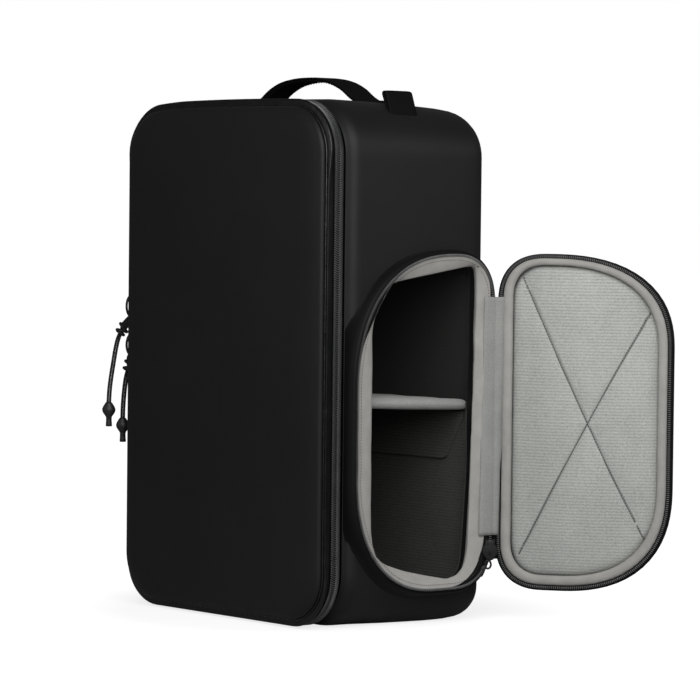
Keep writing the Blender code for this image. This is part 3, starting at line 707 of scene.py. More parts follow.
def studs(where, along, out, length, width, height, slant=0.0):
    """Small rounded blocks at points. along and out are directions at each; length runs across both."""
    out = np.broadcast_to(np.asarray(out, float), where.shape)
    out = out / np.linalg.norm(out, axis=1)[:, None]
    across = np.cross(out, along)
    across /= np.linalg.norm(across, axis=1)[:, None]
    shape = [
        (-1.0, -0.8, 0.0), (1.0, -0.8, 0.0), (1.0, 0.8, 0.0), (-1.0, 0.8, 0.0),
        (-0.9, -0.6, 0.75), (0.9, -0.6, 0.75), (0.9, 0.6, 0.75), (-0.9, 0.6, 0.75),
        (-0.6, 0.0, 1.0), (0.6, 0.0, 1.0),
    ]
    quads = [
        (0, 1, 5, 4), (1, 2, 6, 5), (2, 3, 7, 6), (3, 0, 4, 7),
        (4, 5, 9, 8), (6, 7, 8, 9), (5, 6, 9), (7, 4, 8),
    ]
    verts = []
    for a, b, c in shape:
        forward = b * width / 2 + a * slant * length / 2
        verts.append(where + across * (a * length / 2) + along * forward + out * (c * height))
    verts = np.stack(verts, axis=1)
    n, k = verts.shape[:2]
    faces = [tuple(i * k + q for q in quad) for i in range(n) for quad in quads]
    return verts.reshape(-1, 3), faces


def join(*parts):
    """Puts (verts, faces, material index) parts in one list."""
    verts, faces, picks = [], [], []
    base = 0
    for v, f, pick in parts:
        v = np.asarray(v, dtype=float)
        verts.append(v)
        faces.extend(tuple(i + base for i in face) for face in f)
        picks.extend([pick] * len(f) if np.isscalar(pick) else list(pick))
        base += len(v)
    return np.vstack(verts), faces, picks


def tube(points, radius, sides=8, closed=False):
    """A round tube along a line."""
    pts = np.asarray(points, dtype=float)
    n = len(pts)
    radius = np.broadcast_to(np.asarray(radius, float), (n,))
    if closed:
        along = np.roll(pts, -1, axis=0) - np.roll(pts, 1, axis=0)
    else:
        along = np.gradient(pts, axis=0)
    along /= np.maximum(np.linalg.norm(along, axis=1)[:, None], 1e-12)
    normal = np.cross(along[0], [0.31, 0.22, 0.93])
    normal /= np.linalg.norm(normal)
    rings = []
    for i in range(n):
        normal = normal - along[i] * np.dot(normal, along[i])
        normal /= np.linalg.norm(normal)
        other = np.cross(along[i], normal)
        turn = np.arange(sides) * math.tau / sides
        rings.append(pts[i] + radius[i] * (np.cos(turn)[:, None] * normal + np.sin(turn)[:, None] * other))
    return skin(rings, wrap=closed, caps=not closed)


def smooth_line(points, count):
    """Points evenly spread on a smooth curve through the given ones."""
    pts = np.asarray(points, dtype=float)
    dense = []
    for i in range(len(pts) - 1):
        p0, p1, p2, p3 = pts[max(i - 1, 0)], pts[i], pts[i + 1], pts[min(i + 2, len(pts) - 1)]
        t = np.linspace(0, 1, 24, endpoint=False)[:, None]
        dense.append(0.5 * (2 * p1 + (p2 - p0) * t + (2 * p0 - 5 * p1 + 4 * p2 - p3) * t ** 2
                            + (3 * p1 - p0 - 3 * p2 + p3) * t ** 3))
    dense = np.vstack(dense + [pts[-1:]])
    run = np.concatenate([[0], np.cumsum(np.linalg.norm(np.diff(dense, axis=0), axis=1))])
    at = np.linspace(0, run[-1], count)
    return np.column_stack([np.interp(at, run, dense[:, k]) for k in range(3)])


def ripple_field(p, scale, seed=0.0):
    return np.array([noise.noise(Vector((x * scale + seed, y * scale, z * scale))) for x, y, z in p])


def puffed(verts, faces, pins, pressure, cap, frames=14):
    """Blows a padded surface up with a short cloth simulation, and gives its new points."""
    obj = place_object("puff", mesh_of("puff", verts, faces))
    group = obj.vertex_groups.new(name="pin")
    for k in np.nonzero(pins > 0.01)[0]:
        group.add([int(k)], float(pins[k]), "REPLACE")
    cloth = obj.modifiers.new("cloth", "CLOTH")
    cloth.settings.vertex_group_mass = "pin"
    values = {"quality": 5, "mass": 0.15, "tension_stiffness": 12.0, "compression_stiffness": 12.0,
              "shear_stiffness": 6.0, "bending_stiffness": 0.8, "use_pressure": True,
              "uniform_pressure_force": pressure}
    for key, value in values.items():
        setattr(cloth.settings, key, value)
    cloth.settings.effector_weights.gravity = 0.0
    cloth.point_cache.frame_start = 1
    cloth.point_cache.frame_end = frames
    scene = bpy.context.scene
    for number in range(1, frames + 1):
        scene.frame_set(number)
    graph = bpy.context.evaluated_depsgraph_get()
    done = obj.evaluated_get(graph).to_mesh()
    moved = np.empty(len(done.vertices) * 3)
    done.vertices.foreach_get("co", moved)
    moved = moved.reshape(-1, 3)
    scene.frame_set(1)
    bpy.data.objects.remove(obj, do_unlink=True)
    step = moved - np.asarray(verts)
    far = np.linalg.norm(step, axis=1)
    step *= np.minimum(1, cap / np.maximum(far, 1e-9))[:, None]
    return np.asarray(verts) + step


def cut_hole(obj, grow):
    """Cuts the side hole through a closed piece."""
    flat = hole(grow)
    verts, faces = skin([side_ring(flat, 0.110), side_ring(flat, 0.175)], caps=True)
    cutter = place_object("cutter", mesh_of("cutter", verts, faces))
    mod = obj.modifiers.new("hole", "BOOLEAN")
    mod.operation = "DIFFERENCE"
    mod.object = cutter
    bpy.context.view_layer.update()
    graph = bpy.context.evaluated_depsgraph_get()
    fresh = bpy.data.meshes.new_from_object(obj.evaluated_get(graph), depsgraph=graph)
    obj.modifiers.clear()
    obj.data = fresh
    bpy.data.objects.remove(cutter, do_unlink=True)
    fresh.shade_smooth()
    fresh.set_sharp_from_angle(angle=math.radians(50))


# Main body
def side_bulge(depth):
    """How far the padded sides stand out between the front edge and the back."""
    t = np.clip((depth - 0.041) / (0.173 - 0.041), 0, 1)
    return 0.0011 * np.sin(math.pi * t)


BODY_EDGE = [
    (0.0080, FRONT_JOIN), (0.0072, 0.0312), (0.0058, 0.0322), (0.0042, 0.0334), (0.0026, 0.0352),
    (0.0012, 0.0377), (0.0003, 0.0405), (0.0, 0.0440),
]
BODY_BACK = [
    (0.0003, 0.1665), (0.0007, 0.1710), (0.0016, 0.1750), (0.0032, 0.1788), (0.0055, 0.1822),
    (0.0085, 0.1848), (0.0120, 0.1864), (0.0158, 0.1870),
]


def make_body():
    rows = list(BODY_EDGE)
    for t in np.linspace(0, 1, 26)[1:-1]:
        depth = 0.0440 + (0.1630 - 0.0440) * t
        rows.append((-side_bulge(depth), depth))
    rows += BODY_BACK
    for inset in (0.026, 0.036, 0.048, 0.07, 0.10, 0.128):
        rows.append((inset, 0.1870 + 0.0005 * math.sin(min(inset / 0.128, 1) * math.pi / 2)))
    back = DEPTH - 0.0085
    turn = len(rows)
    rows += [(0.128, back), (0.05, back), (WALL + 0.008, back), (WALL + 0.002, back - 0.002)]
    rows += [(WALL, back - 0.008), (WALL, 0.0295 + 0.001)]
    rings = np.array([body_ring(inset, depth) for inset, depth in rows])
    rings[:, :, 2] = np.maximum(rings[:, :, 2], 0.0)
    verts, faces = skin(rings, wrap=True, turn=turn)
    shell = new_piece("bag_body", verts, faces, ["side"])
    cut_hole(shell, 0.0080)
    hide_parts("body_shell")


def make_lining():
    out = 0.0086
    back = DEPTH - 0.0088
    thin = 0.0014
    rows = [(out, 0.0325), (out, back - 0.008), (out + 0.002, back - 0.002), (out + 0.008, back)]
    rows += [(0.12, back), (0.12, back - thin), (out + 0.008 + thin, back - thin)]
    rows += [(out + 0.0015 + thin, back - 0.0015 - thin), (out + thin, back - 0.0080), (out + thin, 0.0325)]
    verts, faces = skin([body_ring(inset, depth) for inset, depth in rows], wrap=True, turn=5)
    lining = new_piece("bag_lining", verts, faces, ["lining"])
    cut_hole(lining, 0.0080)
    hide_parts("body_lining")


# Front lid
LID_RIM = [
    (0.0075, 0.0148), (0.0056, 0.0151), (0.0046, 0.0149), (0.0040, 0.0143), (0.0033, 0.0134),
    (0.0025, 0.0123), (0.0018, 0.0113), (0.0014, 0.0104), (0.0016, 0.0097), (0.0024, 0.0092),
    (0.0036, 0.0089), (0.0054, 0.0087), (0.0072, 0.0086), (0.0086, 0.0084),
]
LID_FACE = [
    (0.0086, 0.0078), (0.0080, 0.0070), (0.0078, 0.0062), (0.0082, 0.0052), (0.0091, 0.0042),
    (0.0105, 0.0033), (0.0126, 0.0025), (0.0155, 0.0017), (0.0195, 0.0010), (0.0250, 0.0004),
    (0.0330, -0.0002),
]


def make_lid():
    rows = LID_RIM + LID_FACE
    for inset in (0.044, 0.056, 0.070, 0.086, 0.104, 0.122, 0.138):
        rows.append((inset, -0.0003 - 0.0012 * (1 - ((SIDE - inset) / (SIDE - 0.034)) ** 2)))
    rings = np.array([body_ring(inset, depth) for inset, depth in rows])
    flat = rings.reshape(-1, 3)
    wave = ripple_field(flat * np.array([1, 0, 1]), 13.0, 3.0)
    edge = np.clip((SIDE - 0.012 - np.abs(flat[:, 0])) / 0.03, 0, 1)
    flat[:, 1] += 0.0007 * wave * edge * (flat[:, 1] < depth_y(0.004))
    rings = flat.reshape(rings.shape)
    for ring, (inset, depth) in zip(rings, LID_RIM):
        down = np.clip((0.420 - ring[:, 2]) / 0.055, 0, 1)
        beside = np.clip((np.abs(ring[:, 0]) - SIDE + 0.024) / 0.018, 0, 1)
        down *= beside * np.clip((ring[:, 2] - 0.006) / 0.05, 0, 1)
        down *= down * (3 - 2 * down)
        ring[:, 0] -= np.sign(ring[:, 0]) * max(0.0050 - inset, 0) * down
    verts, faces = skin(rings)
    count = rings.shape[1]
    picks = []
    for r in range(len(rings) - 1):
        picks += [1 if r < len(LID_RIM) - 1 else 0] * count
    faces.append(last_ring(rings))
    picks.append(0)
    inside = [(0.0078, 0.0150), (0.0094, 0.0130), (0.0140, 0.0100), (0.0200, 0.0072), (0.12, 0.0065)]
    back = np.array([body_ring(inset, depth) for inset, depth in inside])
    bverts, bfaces = skin(back)
    bfaces.append(last_ring(back))
    verts, faces, picks = join((verts, faces, picks), (bverts, bfaces, 2))
    lid = new_piece("lid", verts, faces, ["coat", "gusset", "lining"], picks)
    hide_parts("front_lid")


def make_piping():
    rings = []
    for k in range(12):
        a = math.tau * k / 12
        rings.append(body_ring(0.0073 + 0.0009 * math.cos(a), 0.0079 + 0.0007 * math.sin(a)))
    verts, faces = skin(rings, wrap=True)
    piping = new_piece("face_cord", verts, faces, ["piping"])
    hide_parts("face_piping")


def make_front_zip():
    rows = [(0.0078, 0.0152), (0.0056, 0.0154), (0.0042, 0.0156), (0.0034, 0.0161), (0.0033, 0.0172),
            (0.0036, 0.0185), (0.0033, 0.0198), (0.0033, 0.0222), (0.0038, 0.0234), (0.0054, 0.0246),
            (0.0072, 0.0262), (0.0086, 0.0280), (0.0094, 0.0298), (0.0096, 0.0322)]
    rings = [body_ring(inset, depth) for inset, depth in rows]
    verts, faces = skin(rings, wrap=True)
    parts = [(verts, faces, 0)]
    for depth, slant in ((0.0166, 0.42), (0.0212, -0.42)):
        path = body_ring(0.0031, depth)
        where, along = evenly(path, 0.0019)
        out = np.column_stack([np.zeros(len(where)), np.ones(len(where)), np.zeros(len(where))])
        out = np.cross(along, out)
        centre = np.array([0, 0, HEIGHT / 2])
        flip = np.einsum("ij,ij->i", out, where - centre) < 0
        out[flip] *= -1
        v, f = studs(where, along, out, 0.0042, 0.0010, 0.0013, slant)
        parts.append((v, f, 1))
    verts, faces, picks = join(*parts)
    piece = new_piece("front_zip_band", verts, faces, ["tape", "coil"], picks)
    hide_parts("front_zip")


# Side opening
def body_side(flat):
    """X of the bag's right side under an outline in (depth, z)."""
    depth, z = flat[:, 0], flat[:, 1]
    rows = BODY_EDGE + BODY_BACK
    inset = np.interp(depth, [r[1] for r in rows], [r[0] for r in rows])
    inset = inset - side_bulge(depth)
    low = np.maximum(base_corner(depth) - z, 0)
    high = np.maximum(z - (HEIGHT - CORNER), 0)
    radius = np.where(low > 0, base_corner(depth), CORNER) - inset
    over = np.maximum(low, high)
    return SIDE - inset - radius + np.sqrt(np.maximum(radius ** 2 - over ** 2, 0))


def make_collar():
    def based(inset, lift):
        flat = rim(0.0)
        away = rim(inset) - flat
        away[:, 1] *= np.where(away[:, 1] > 0, 0.4, 1.0)
        flat = flat + away
        flat[:, 0] = np.maximum(flat[:, 0], 0.0308)
        return side_ring(flat, body_side(flat) + lift)

    rings = [based(-0.0075, -0.0012), based(-0.0060, 0.0002), based(-0.0045, 0.0015)]
    for inset, x in ((-0.0032, 0.1487), (-0.0022, 0.1512), (-0.0014, 0.1532), (-0.0006, 0.1545),
                     (0.0008, 0.1547), (0.0030, 0.1536), (0.0050, 0.1522)):
        rings.append(side_ring(rim(inset), x))
    rings.append(side_ring(hole(0.0075), 0.1480))
    rings.append(side_ring(hole(0.0075), 0.1425))
    verts, faces = skin(rings)
    collar = new_piece("collar", verts, faces, ["collar"])
    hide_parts("opening_collar")


def make_opening_zip():
    where, along = evenly(side_ring(rim(0.0025), 0.1552), TEETH_APART)
    v, f = studs(where, along, (1, 0, 0), *TEETH)
    tape, tfaces = skin([side_ring(rim(-0.0005), 0.1546), side_ring(rim(-0.0002), 0.1552),
                         side_ring(rim(0.0024), 0.1553), side_ring(tape_edge(0.0038), 0.1543),
                         side_ring(tape_edge(0.0050), 0.1520)])
    verts, faces, picks = join((tape, tfaces, 0), (v, f, 1))
    piece = new_piece("opening_zip_half", verts, faces, ["tape", "teeth"], picks)
    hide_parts("opening_zip")


def make_facing():
    start = tape_edge(0.0034)
    inner = hole(0.0)
    rings = []
    for t in np.linspace(0, 1, 9):
        flat = start + (inner - start) * t
        x = 0.1549 + (0.1494 - 0.1549) * t + 0.0006 * math.sin(math.pi * t)
        rings.append(side_ring(flat, x))
    for grow, x in ((-0.0002, 0.1488), (0.0003, 0.1478), (0.0022, 0.1456), (0.0046, 0.1434)):
        rings.append(side_ring(hole(grow), x))
    rings.append(side_ring(hole(0.0070), 0.1431))
    verts, faces = skin(waved(rings, (1, 0, 0), 0.0009, 42.0, 1.7))
    seam = side_ring(rim(0.0066), 0.1546)
    where, along = evenly(seam, 0.0026)
    where[:, 0] += 0.0009 * ripple_field(where, 42.0, 1.7) + 0.0003
    inside = np.hypot(where[:, 1] + DEPTH / 2 - HOLE_CENTRE[0], where[:, 2] - HOLE_CENTRE[1])
    turn = np.arctan2(where[:, 2] - HOLE_CENTRE[1], where[:, 1] + DEPTH / 2 - HOLE_CENTRE[0])
    clear = inside > reach_of(hole(0.0006), turn)
    where, along = where[clear], along[clear]
    sv, sf = studs(where, along, (1, 0, 0), 0.0005, 0.0014, 0.0003)
    verts, faces, picks = join((verts, faces, 0), (sv, sf, 1))
    facing = new_piece("facing", verts, faces, ["facing", "thread_grey"], picks)
    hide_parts("opening_facing")


# Door
QUILT = [((0.0185, 0.2985), (0.1290, 0.0710)), ((0.0175, 0.0590), (0.1300, 0.2700))]


def quilt_dip(u, z):
    dip = np.zeros_like(u)
    for (ua, za), (ub, zb) in QUILT:
        du, dz = ub - ua, zb - za
        span = math.hypot(du, dz)
        t = np.clip(((u - ua) * du + (z - za) * dz) / span ** 2, 0, 1)
        gap = np.hypot(u - (ua + du * t), z - (za + dz * t))
        stitched = 0.0018 * np.exp(-((gap / 0.0016) ** 2))
        dip = np.maximum(dip, stitched + 0.0028 * np.exp(-((gap / 0.014) ** 2)))
    return dip


def make_door_back():
    rows = [(0.0060, -0.0016), (0.0030, -0.0010), (0.0008, -0.0012), (-0.0004, -0.0024), (-0.0008, -0.0044),
            (-0.0006, -0.0068), (0.0004, -0.0090), (0.0026, -0.0110), (0.0062, -0.0124), (0.0120, -0.0134),
            (0.0220, -0.0142), (0.0340, -0.0147), (0.038, -0.0148)]
    rings = [door_ring(inset, level) for inset, level in rows]
    verts, faces = skin(rings)
    faces.append(last_ring(rings))
    shell = new_piece("door_back", verts, faces, ["collar"])
    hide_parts("door_shell")


def make_door_zip():
    where, along = evenly(door_ring(0.0022, 0.0), TEETH_APART)
    v, f = studs(where, along, DOOR_INNER, *TEETH)
    tape, tfaces = skin([door_ring(-0.0006, -0.0012), door_ring(-0.0004, -0.0002), door_ring(0.0030, 0.0),
                         door_ring(0.0044, -0.0010)])
    rows = []
    for z in np.linspace(0.0540, 0.0790, 12):
        near = rim(0.0016)
        k = np.argmin(np.where(near[:, 0] > 0.15, np.abs(near[:, 1] - z), 9.0))
        far = door_rim(0.0016)
        m = np.argmin(np.where(far[:, 0] > 0.15, np.abs(far[:, 1] - z), 9.0))
        start = np.array([0.1552, depth_y(near[k, 0]), z])
        end = door_point(DOOR_START - far[m, 0], z, -0.0008)
        rows.append([start + (end - start) * t - np.array([0.0008, 0, 0]) * math.sin(math.pi * t)
                     for t in np.linspace(0, 1, 7)])
    bridge, bfaces = skin(rows, open_ring=True)
    verts, faces, picks = join((tape, tfaces, 0), (v, f, 1), (bridge, bfaces, 0))
    piece = new_piece("door_zip_half", verts, faces, ["tape", "teeth"], picks)
    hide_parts("door_zip")


def make_door_binding():
    rows = [(0.0041, -0.0016), (0.0044, -0.0004), (0.0055, 0.0006), (0.0074, 0.0012), (0.0096, 0.0011),
            (0.0112, 0.0004), (0.0122, -0.0008), (0.0125, -0.0026), (0.0122, -0.0050)]
    rings = [door_ring(inset, level) for inset, level in rows]
    verts, faces = skin(waved(rings, DOOR_INNER, 0.0006, 60.0, 9.0))
    binding = new_piece("door_edge_binding", verts, faces, ["facing"])
    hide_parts("door_binding")


def make_door_pad():
    insets = [0.0112, 0.0118, 0.0126, 0.0136, 0.0150, 0.0170, 0.0195, 0.0230, 0.0270]
    levels = [-0.0092, -0.0082, -0.0072, -0.0061, -0.0049, -0.0037, -0.0028, -0.0020, -0.0014]
    base = [door_rim(i) for i in insets]
    last = base[-1]
    centre = np.array([0.105, 0.175])
    grids = []
    for flat, level in zip(base, levels):
        grids.append((flat, np.full(len(flat), level)))
    steps = 34
    for k in range(1, steps + 1):
        t = k / steps
        flat = last + (centre - last) * t * 0.985
        grids.append((flat, np.full(len(flat), -0.0014 + 0.0105 * (1 - (1 - t) ** 2))))
    rings = []
    for flat, level in grids:
        u = DOOR_START - flat[:, 0]
        z = flat[:, 1]
        level = level - quilt_dip(u, z)
        spot = np.column_stack([u, z, np.zeros(len(u))])
        level = level + 0.0007 * ripple_field(spot, 30.0, 5.0) * np.clip((level + 0.006) / 0.004, 0, 1)
        rings.append(door_point(u, z, level))
    verts, faces = skin(rings)
    faces.append(last_ring(rings))
    at = np.array(verts) - door_point(0, 0, 0)
    held = np.clip((quilt_dip(at @ DOOR_ALONG, at[:, 2]) - 0.0034) / 0.0008, 0, 1)
    held[:len(rings[0]) * 6] = 1.0
    verts = puffed(verts, faces, held, 1.6, 0.004)
    parts = [(verts, faces, 0)]
    tree = BVHTree.FromPolygons([Vector(v) for v in verts], faces)
    for (ua, za), (ub, zb) in QUILT:
        t = np.linspace(0, 1, 80)
        line = door_point(ua + (ub - ua) * t, za + (zb - za) * t, 0.0)
        along = evenly(line, 0.0024, closed=False)[1]
        t = np.linspace(0, 1, len(along))
        on = []
        keep = []
        for k, p in enumerate(door_point(ua + (ub - ua) * t, za + (zb - za) * t, 0.02)):
            spot = tree.ray_cast(Vector(p), Vector(-DOOR_INNER))[0]
            if spot is not None:
                on.append(np.array(spot) + DOOR_INNER * 0.0001)
                keep.append(k)
        on = np.array(on)
        v, f = studs(on + DOOR_INNER * 0.0004, along[keep], DOOR_INNER, 0.0009, 0.0013, 0.0003)
        parts.append((v, f, 1))
        # A darker tube sunk along each quilt line shows in the groove: painted shade.
        v, f = tube(on - DOOR_INNER * 0.0008, 0.0013, 8)
        parts.append((v, f, 2))
    verts, faces, picks = join(*parts)
    panel = new_piece("door_pad", verts, faces, ["panel", "thread_grey", "seam"], picks)
    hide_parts("door_panel")


def make_hinge():
    hinge = np.array([HINGE_X, depth_y(HINGE_DEPTH), 0])
    points = [
        (0.1540, depth_y(0.1742), 0), (0.1556, depth_y(0.1765), 0), (0.1566, depth_y(0.1820), 0),
        (0.1569, depth_y(0.1850), 0), tuple(hinge + DOOR_ALONG * 0.0002 + DOOR_INNER * 0.0024),
        tuple(hinge + DOOR_ALONG * 0.0026 + DOOR_INNER * 0.0008),
        tuple(hinge + DOOR_ALONG * 0.0050 - DOOR_INNER * 0.0016),
    ]
    line = smooth_line(points, 24)
    heights = np.linspace(0.0750, 0.2820, 60)
    front = []
    for z in heights:
        row = line.copy()
        row[:, 2] = z
        share = np.clip((0.1570 - row[:, 0]) / 0.0020, 0, 1) * np.linspace(1, 0, len(row)) ** 0.5
        row[:, 1] -= 0.0035 * share * (0.285 - z) / 0.210
        pull = np.clip(np.linspace(-0.9, 1, len(row)), 0, 1)[:, None]
        row -= DOOR_ALONG * (0.0012 + 0.0036 * (0.285 - z) / 0.210) * pull
        front.append(row)
    verts, faces = skin(waved(front, (1, 0, 0), 0.0004, 70.0, 2.0, (1, 1, 0.5)), open_ring=True)
    strip = new_piece("hinge_cloth", verts, faces, ["strip"])
    mod = strip.modifiers.new("thick", "SOLIDIFY")
    mod.thickness = 0.0012
    mod.offset = 0
    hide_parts("hinge_strip")


# Inside
def make_shelf():
    nose = 0.006
    left = -SIDE + WALL + LINING + 0.0006
    right = 0.1350
    front = depth_y(0.0330)
    rear = depth_y(DEPTH - (WALL + LINING) - 0.0010)
    mid = 0.1932
    tip = right - nose + nose * np.sin(np.linspace(0.2, 1, 7) * math.pi / 2)
    rings = []
    for x in np.concatenate([np.linspace(left, right - nose, 60), tip]):
        near = np.clip((x - (right - nose)) / nose, 0, 1)
        h = 0.0048 * math.sqrt(max(1 - near ** 2, 0.02))
        setback = 0.006 * near ** 2
        ring = []
        for a in turns(40):
            reach = (rear - front) / 2 - setback
            y = (rear + front) / 2 - setback * 0.3 + reach * rounded(a, 0.16)[0]
            z = mid + h * rounded(a, 0.5)[1]
            sag = 0.006 * (y - front) / (rear - front)
            ring.append((x, y, z - sag))
        rings.append(ring)
    verts, faces = skin(waved(rings, (0, 0, 1), 0.0007, 38.0, 4.0), caps=True)
    shelf = new_piece("shelf_pad", verts, faces, ["shelf"])
    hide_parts("divider_shelf")


def make_flap():
    back = depth_y(DEPTH - (WALL + LINING) - 0.0004)
    top = 0.1905 - 0.0049 - 0.0045
    outline = [(-0.095, top), (-0.074, top - 0.040), (-0.070, top - 0.0425), (0.101, top - 0.0425),
               (0.106, top - 0.040), (0.1265, top - 0.006), (0.1265, top)]
    cx = sum(p[0] for p in outline) / len(outline)
    cz = sum(p[1] for p in outline) / len(outline)
    rings = []
    for level, grow in ((0.0, 0.0), (-0.0016, 0.0), (-0.0024, -0.0012)):
        ring = []
        for x, z in outline:
            d = math.hypot(x - cx, z - cz)
            ring.append((x + (x - cx) / d * grow, back + level, z + (z - cz) / d * grow))
        rings.append(ring)
    verts, faces = skin(rings, caps=True)
    flap = new_piece("shelf_flap", verts, faces, ["lining"], smooth=False)
    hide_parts("divider_flap")


# Webbing
def strip_mesh(path, widths, thick, across=(0, 1, 0)):
    """A flat band along a line with softly rounded edges, and its normal at each point."""
    side = np.array(across, dtype=float)
    along = np.gradient(path, axis=0)
    along /= np.linalg.norm(along, axis=1)[:, None]
    normal = np.cross(side, along)
    normal /= np.linalg.norm(normal, axis=1)[:, None]
    rings = []
    for p, out, width in zip(path, normal, np.broadcast_to(widths, len(path))):
        ring = []
        for face in (-1, 1):
            for u in np.linspace(face, -face, 15):
                edge = 1 - 0.55 * abs(u) ** 8
                ring.append(p + side * (u * width / 2) + out * (face * thick / 2 * edge))
        rings.append(ring)
    return skin(rings, caps=True), normal


def make_handle():
    y = depth_y(0.108)
    base = HEIGHT + 0.0003 + 0.002 - top_drop(0.094, HEIGHT)
    rise = 0.0215
    middle = 0.0030
    shape = [(0.0, 1.0), (0.018, 0.965), (0.035, 0.83), (0.050, 0.56), (0.062, 0.22), (0.071, 0.03)]
    line = [(-0.088, y, base), (-0.077, y, base)]
    line += [(middle - x, y, base + rise * share) for x, share in reversed(shape[1:])]
    line += [(middle + x, y, base + rise * share) for x, share in shape]
    line += [(0.079, y, base), (0.088, y, base)]
    path = smooth_line(line, 90)
    (v, f), normal = strip_mesh(path, 0.0280, 0.0022)
    upper = path[3:-3] + normal[3:-3] * 0.0017
    (v2, f2), n2 = strip_mesh(upper, 0.0268, 0.0016)
    parts = [(v, f, 0), (v2, f2, 0)]
    for off in (-0.0112, 0.0112):
        seam = upper + np.array([0, off, 0]) + n2 * 0.0008
        where, along = evenly(seam, 0.0036, closed=False)
        out = np.column_stack([np.interp(where[:, 0], path[:, 0], normal[:, k]) for k in range(3)])
        sv, sf = studs(where, along, out, 0.0006, 0.0026, 0.0005)
        parts.append((sv, sf, 1))
    verts, faces, picks = join(*parts)
    piece = new_piece("handle_web", verts, faces, ["web", "thread"], picks)
    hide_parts("grab_handle")


def top_height(x):
    over = max(abs(x) - (SIDE - CORNER), 0)
    z = HEIGHT - CORNER + math.sqrt(CORNER ** 2 - over ** 2)
    return z - top_drop(0.087, z)


def make_side_loop():
    y = depth_y(0.102)
    lean = np.array([-0.382, 0, 0.924])
    foot = np.array([0.1260, y, top_height(0.1260)])
    apart = np.array([0.0022, 0, 0])
    inner = foot - apart
    inner[2] = top_height(inner[0]) - 0.0006
    outer = foot + apart
    outer[2] = top_height(outer[0]) - 0.0006
    points = [inner, foot - apart + lean * 0.0174, foot - apart * 0.6 + lean * 0.0198, foot + lean * 0.0208,
              foot + apart * 0.6 + lean * 0.0202, foot + apart + lean * 0.0182, outer]
    path = smooth_line(points, 44)
    (v, f), _ = strip_mesh(path, 0.0300, 0.0016)
    piece = new_piece("loop_web", v, f, ["web_up"])
    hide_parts("side_loop")


# Zip pulls
PULLS = {
    "upper": {
        "slider": (-0.1437, 0.0208, 0.2790),
        "ring": (-0.1519, 0.0205, 0.2670),
        "route": [
            (-0.1521, 0.0203, 0.2554),
            (-0.1556, 0.0160, 0.2490),
            (-0.1596, 0.0112, 0.2360),
            (-0.1622, 0.0078, 0.2120),
            (-0.1635, 0.0056, 0.1930),
            (-0.1640, 0.0050, 0.1790),
        ],
    },
    "lower": {
        "slider": (-0.1437, 0.0208, 0.2440),
        "ring": (-0.1519, 0.0208, 0.2320),
        "route": [
            (-0.1520, 0.0207, 0.2212),
            (-0.1526, 0.0196, 0.2140),
            (-0.1545, 0.0168, 0.2000),
            (-0.1558, 0.0153, 0.1800),
            (-0.1562, 0.0150, 0.1650),
        ],
    },
}


def make_cord(name, points, diameter):
    curve = bpy.data.curves.new(name, "CURVE")
    curve.dimensions = "3D"
    curve.bevel_depth = diameter / 2
    curve.bevel_resolution = 3
    curve.use_fill_caps = True
    spline = curve.splines.new("POLY")
    spline.points.add(len(points) - 1)
    for point, where in zip(spline.points, points):
        point.co = (*[float(c) for c in where], 1.0)
    curve.materials.append(MATS["cord"])
    obj = place_object(name, curve)
    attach(obj, ROOT)
    return obj


def make_front_slider(which, places):
    sx, sd, sz = places["slider"]
    centre = np.array([sx, depth_y(sd), sz])
    out = np.array([-1.0, 0, 0])
    rings = []
    for level, share in ((0.0, 0.80), (0.0010, 0.96), (0.0022, 1.0), (0.0036, 0.96), (0.0046, 0.80)):
        ring = []
        for a in turns(28):
            sideways, upwards = rounded(a, 0.7)
            y = sideways * 0.0047 * share * (1 - 0.18 * math.sin(a))
            ring.append(centre + out * level + np.array([0, y, upwards * 0.0070 * share]))
        rings.append(ring)
    v, f = skin(rings, caps=True)
    bridge = []
    for a in np.linspace(0, math.pi, 14):
        bridge.append(centre + out * (0.0042 + 0.0030 * math.sin(a)) + UP * (0.0048 * math.cos(a)))
    bv, bf = tube(bridge, 0.0011)
    verts, faces, picks = join((v, f, 0), (bv, bf, 0))
    slider = new_piece("slider_" + which, verts, faces, ["metal"], picks)
    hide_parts("front_slider_" + which)


def ring_middle(places):
    x, depth, z = places["ring"]
    return np.array([x, depth_y(depth), z])


def make_ring(which, places):
    middle = ring_middle(places)
    across = np.array([0.35, 0.94, 0])
    loop = []
    for a in turns(36):
        loop.append(middle + across * (0.0044 * math.cos(a)) + UP * (0.0094 * math.sin(a)))
    v, f = tube(loop, 0.0011, 10, closed=True)
    ring = new_piece("ring_" + which, v, f, ["metal"])
    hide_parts("pull_ring_" + which)


def make_strands(which, spine):
    """The two strands of the doubled cord, side by side, with the line of each."""
    strands = []
    for key, way in (("a", -1), ("b", 1)):
        line = spine + VIEW_RIGHT * (way * 0.00112)
        strands.append((make_cord("pull_strand_%s_%s" % (which, key), line, STRAND_WIDE), line))
    return strands


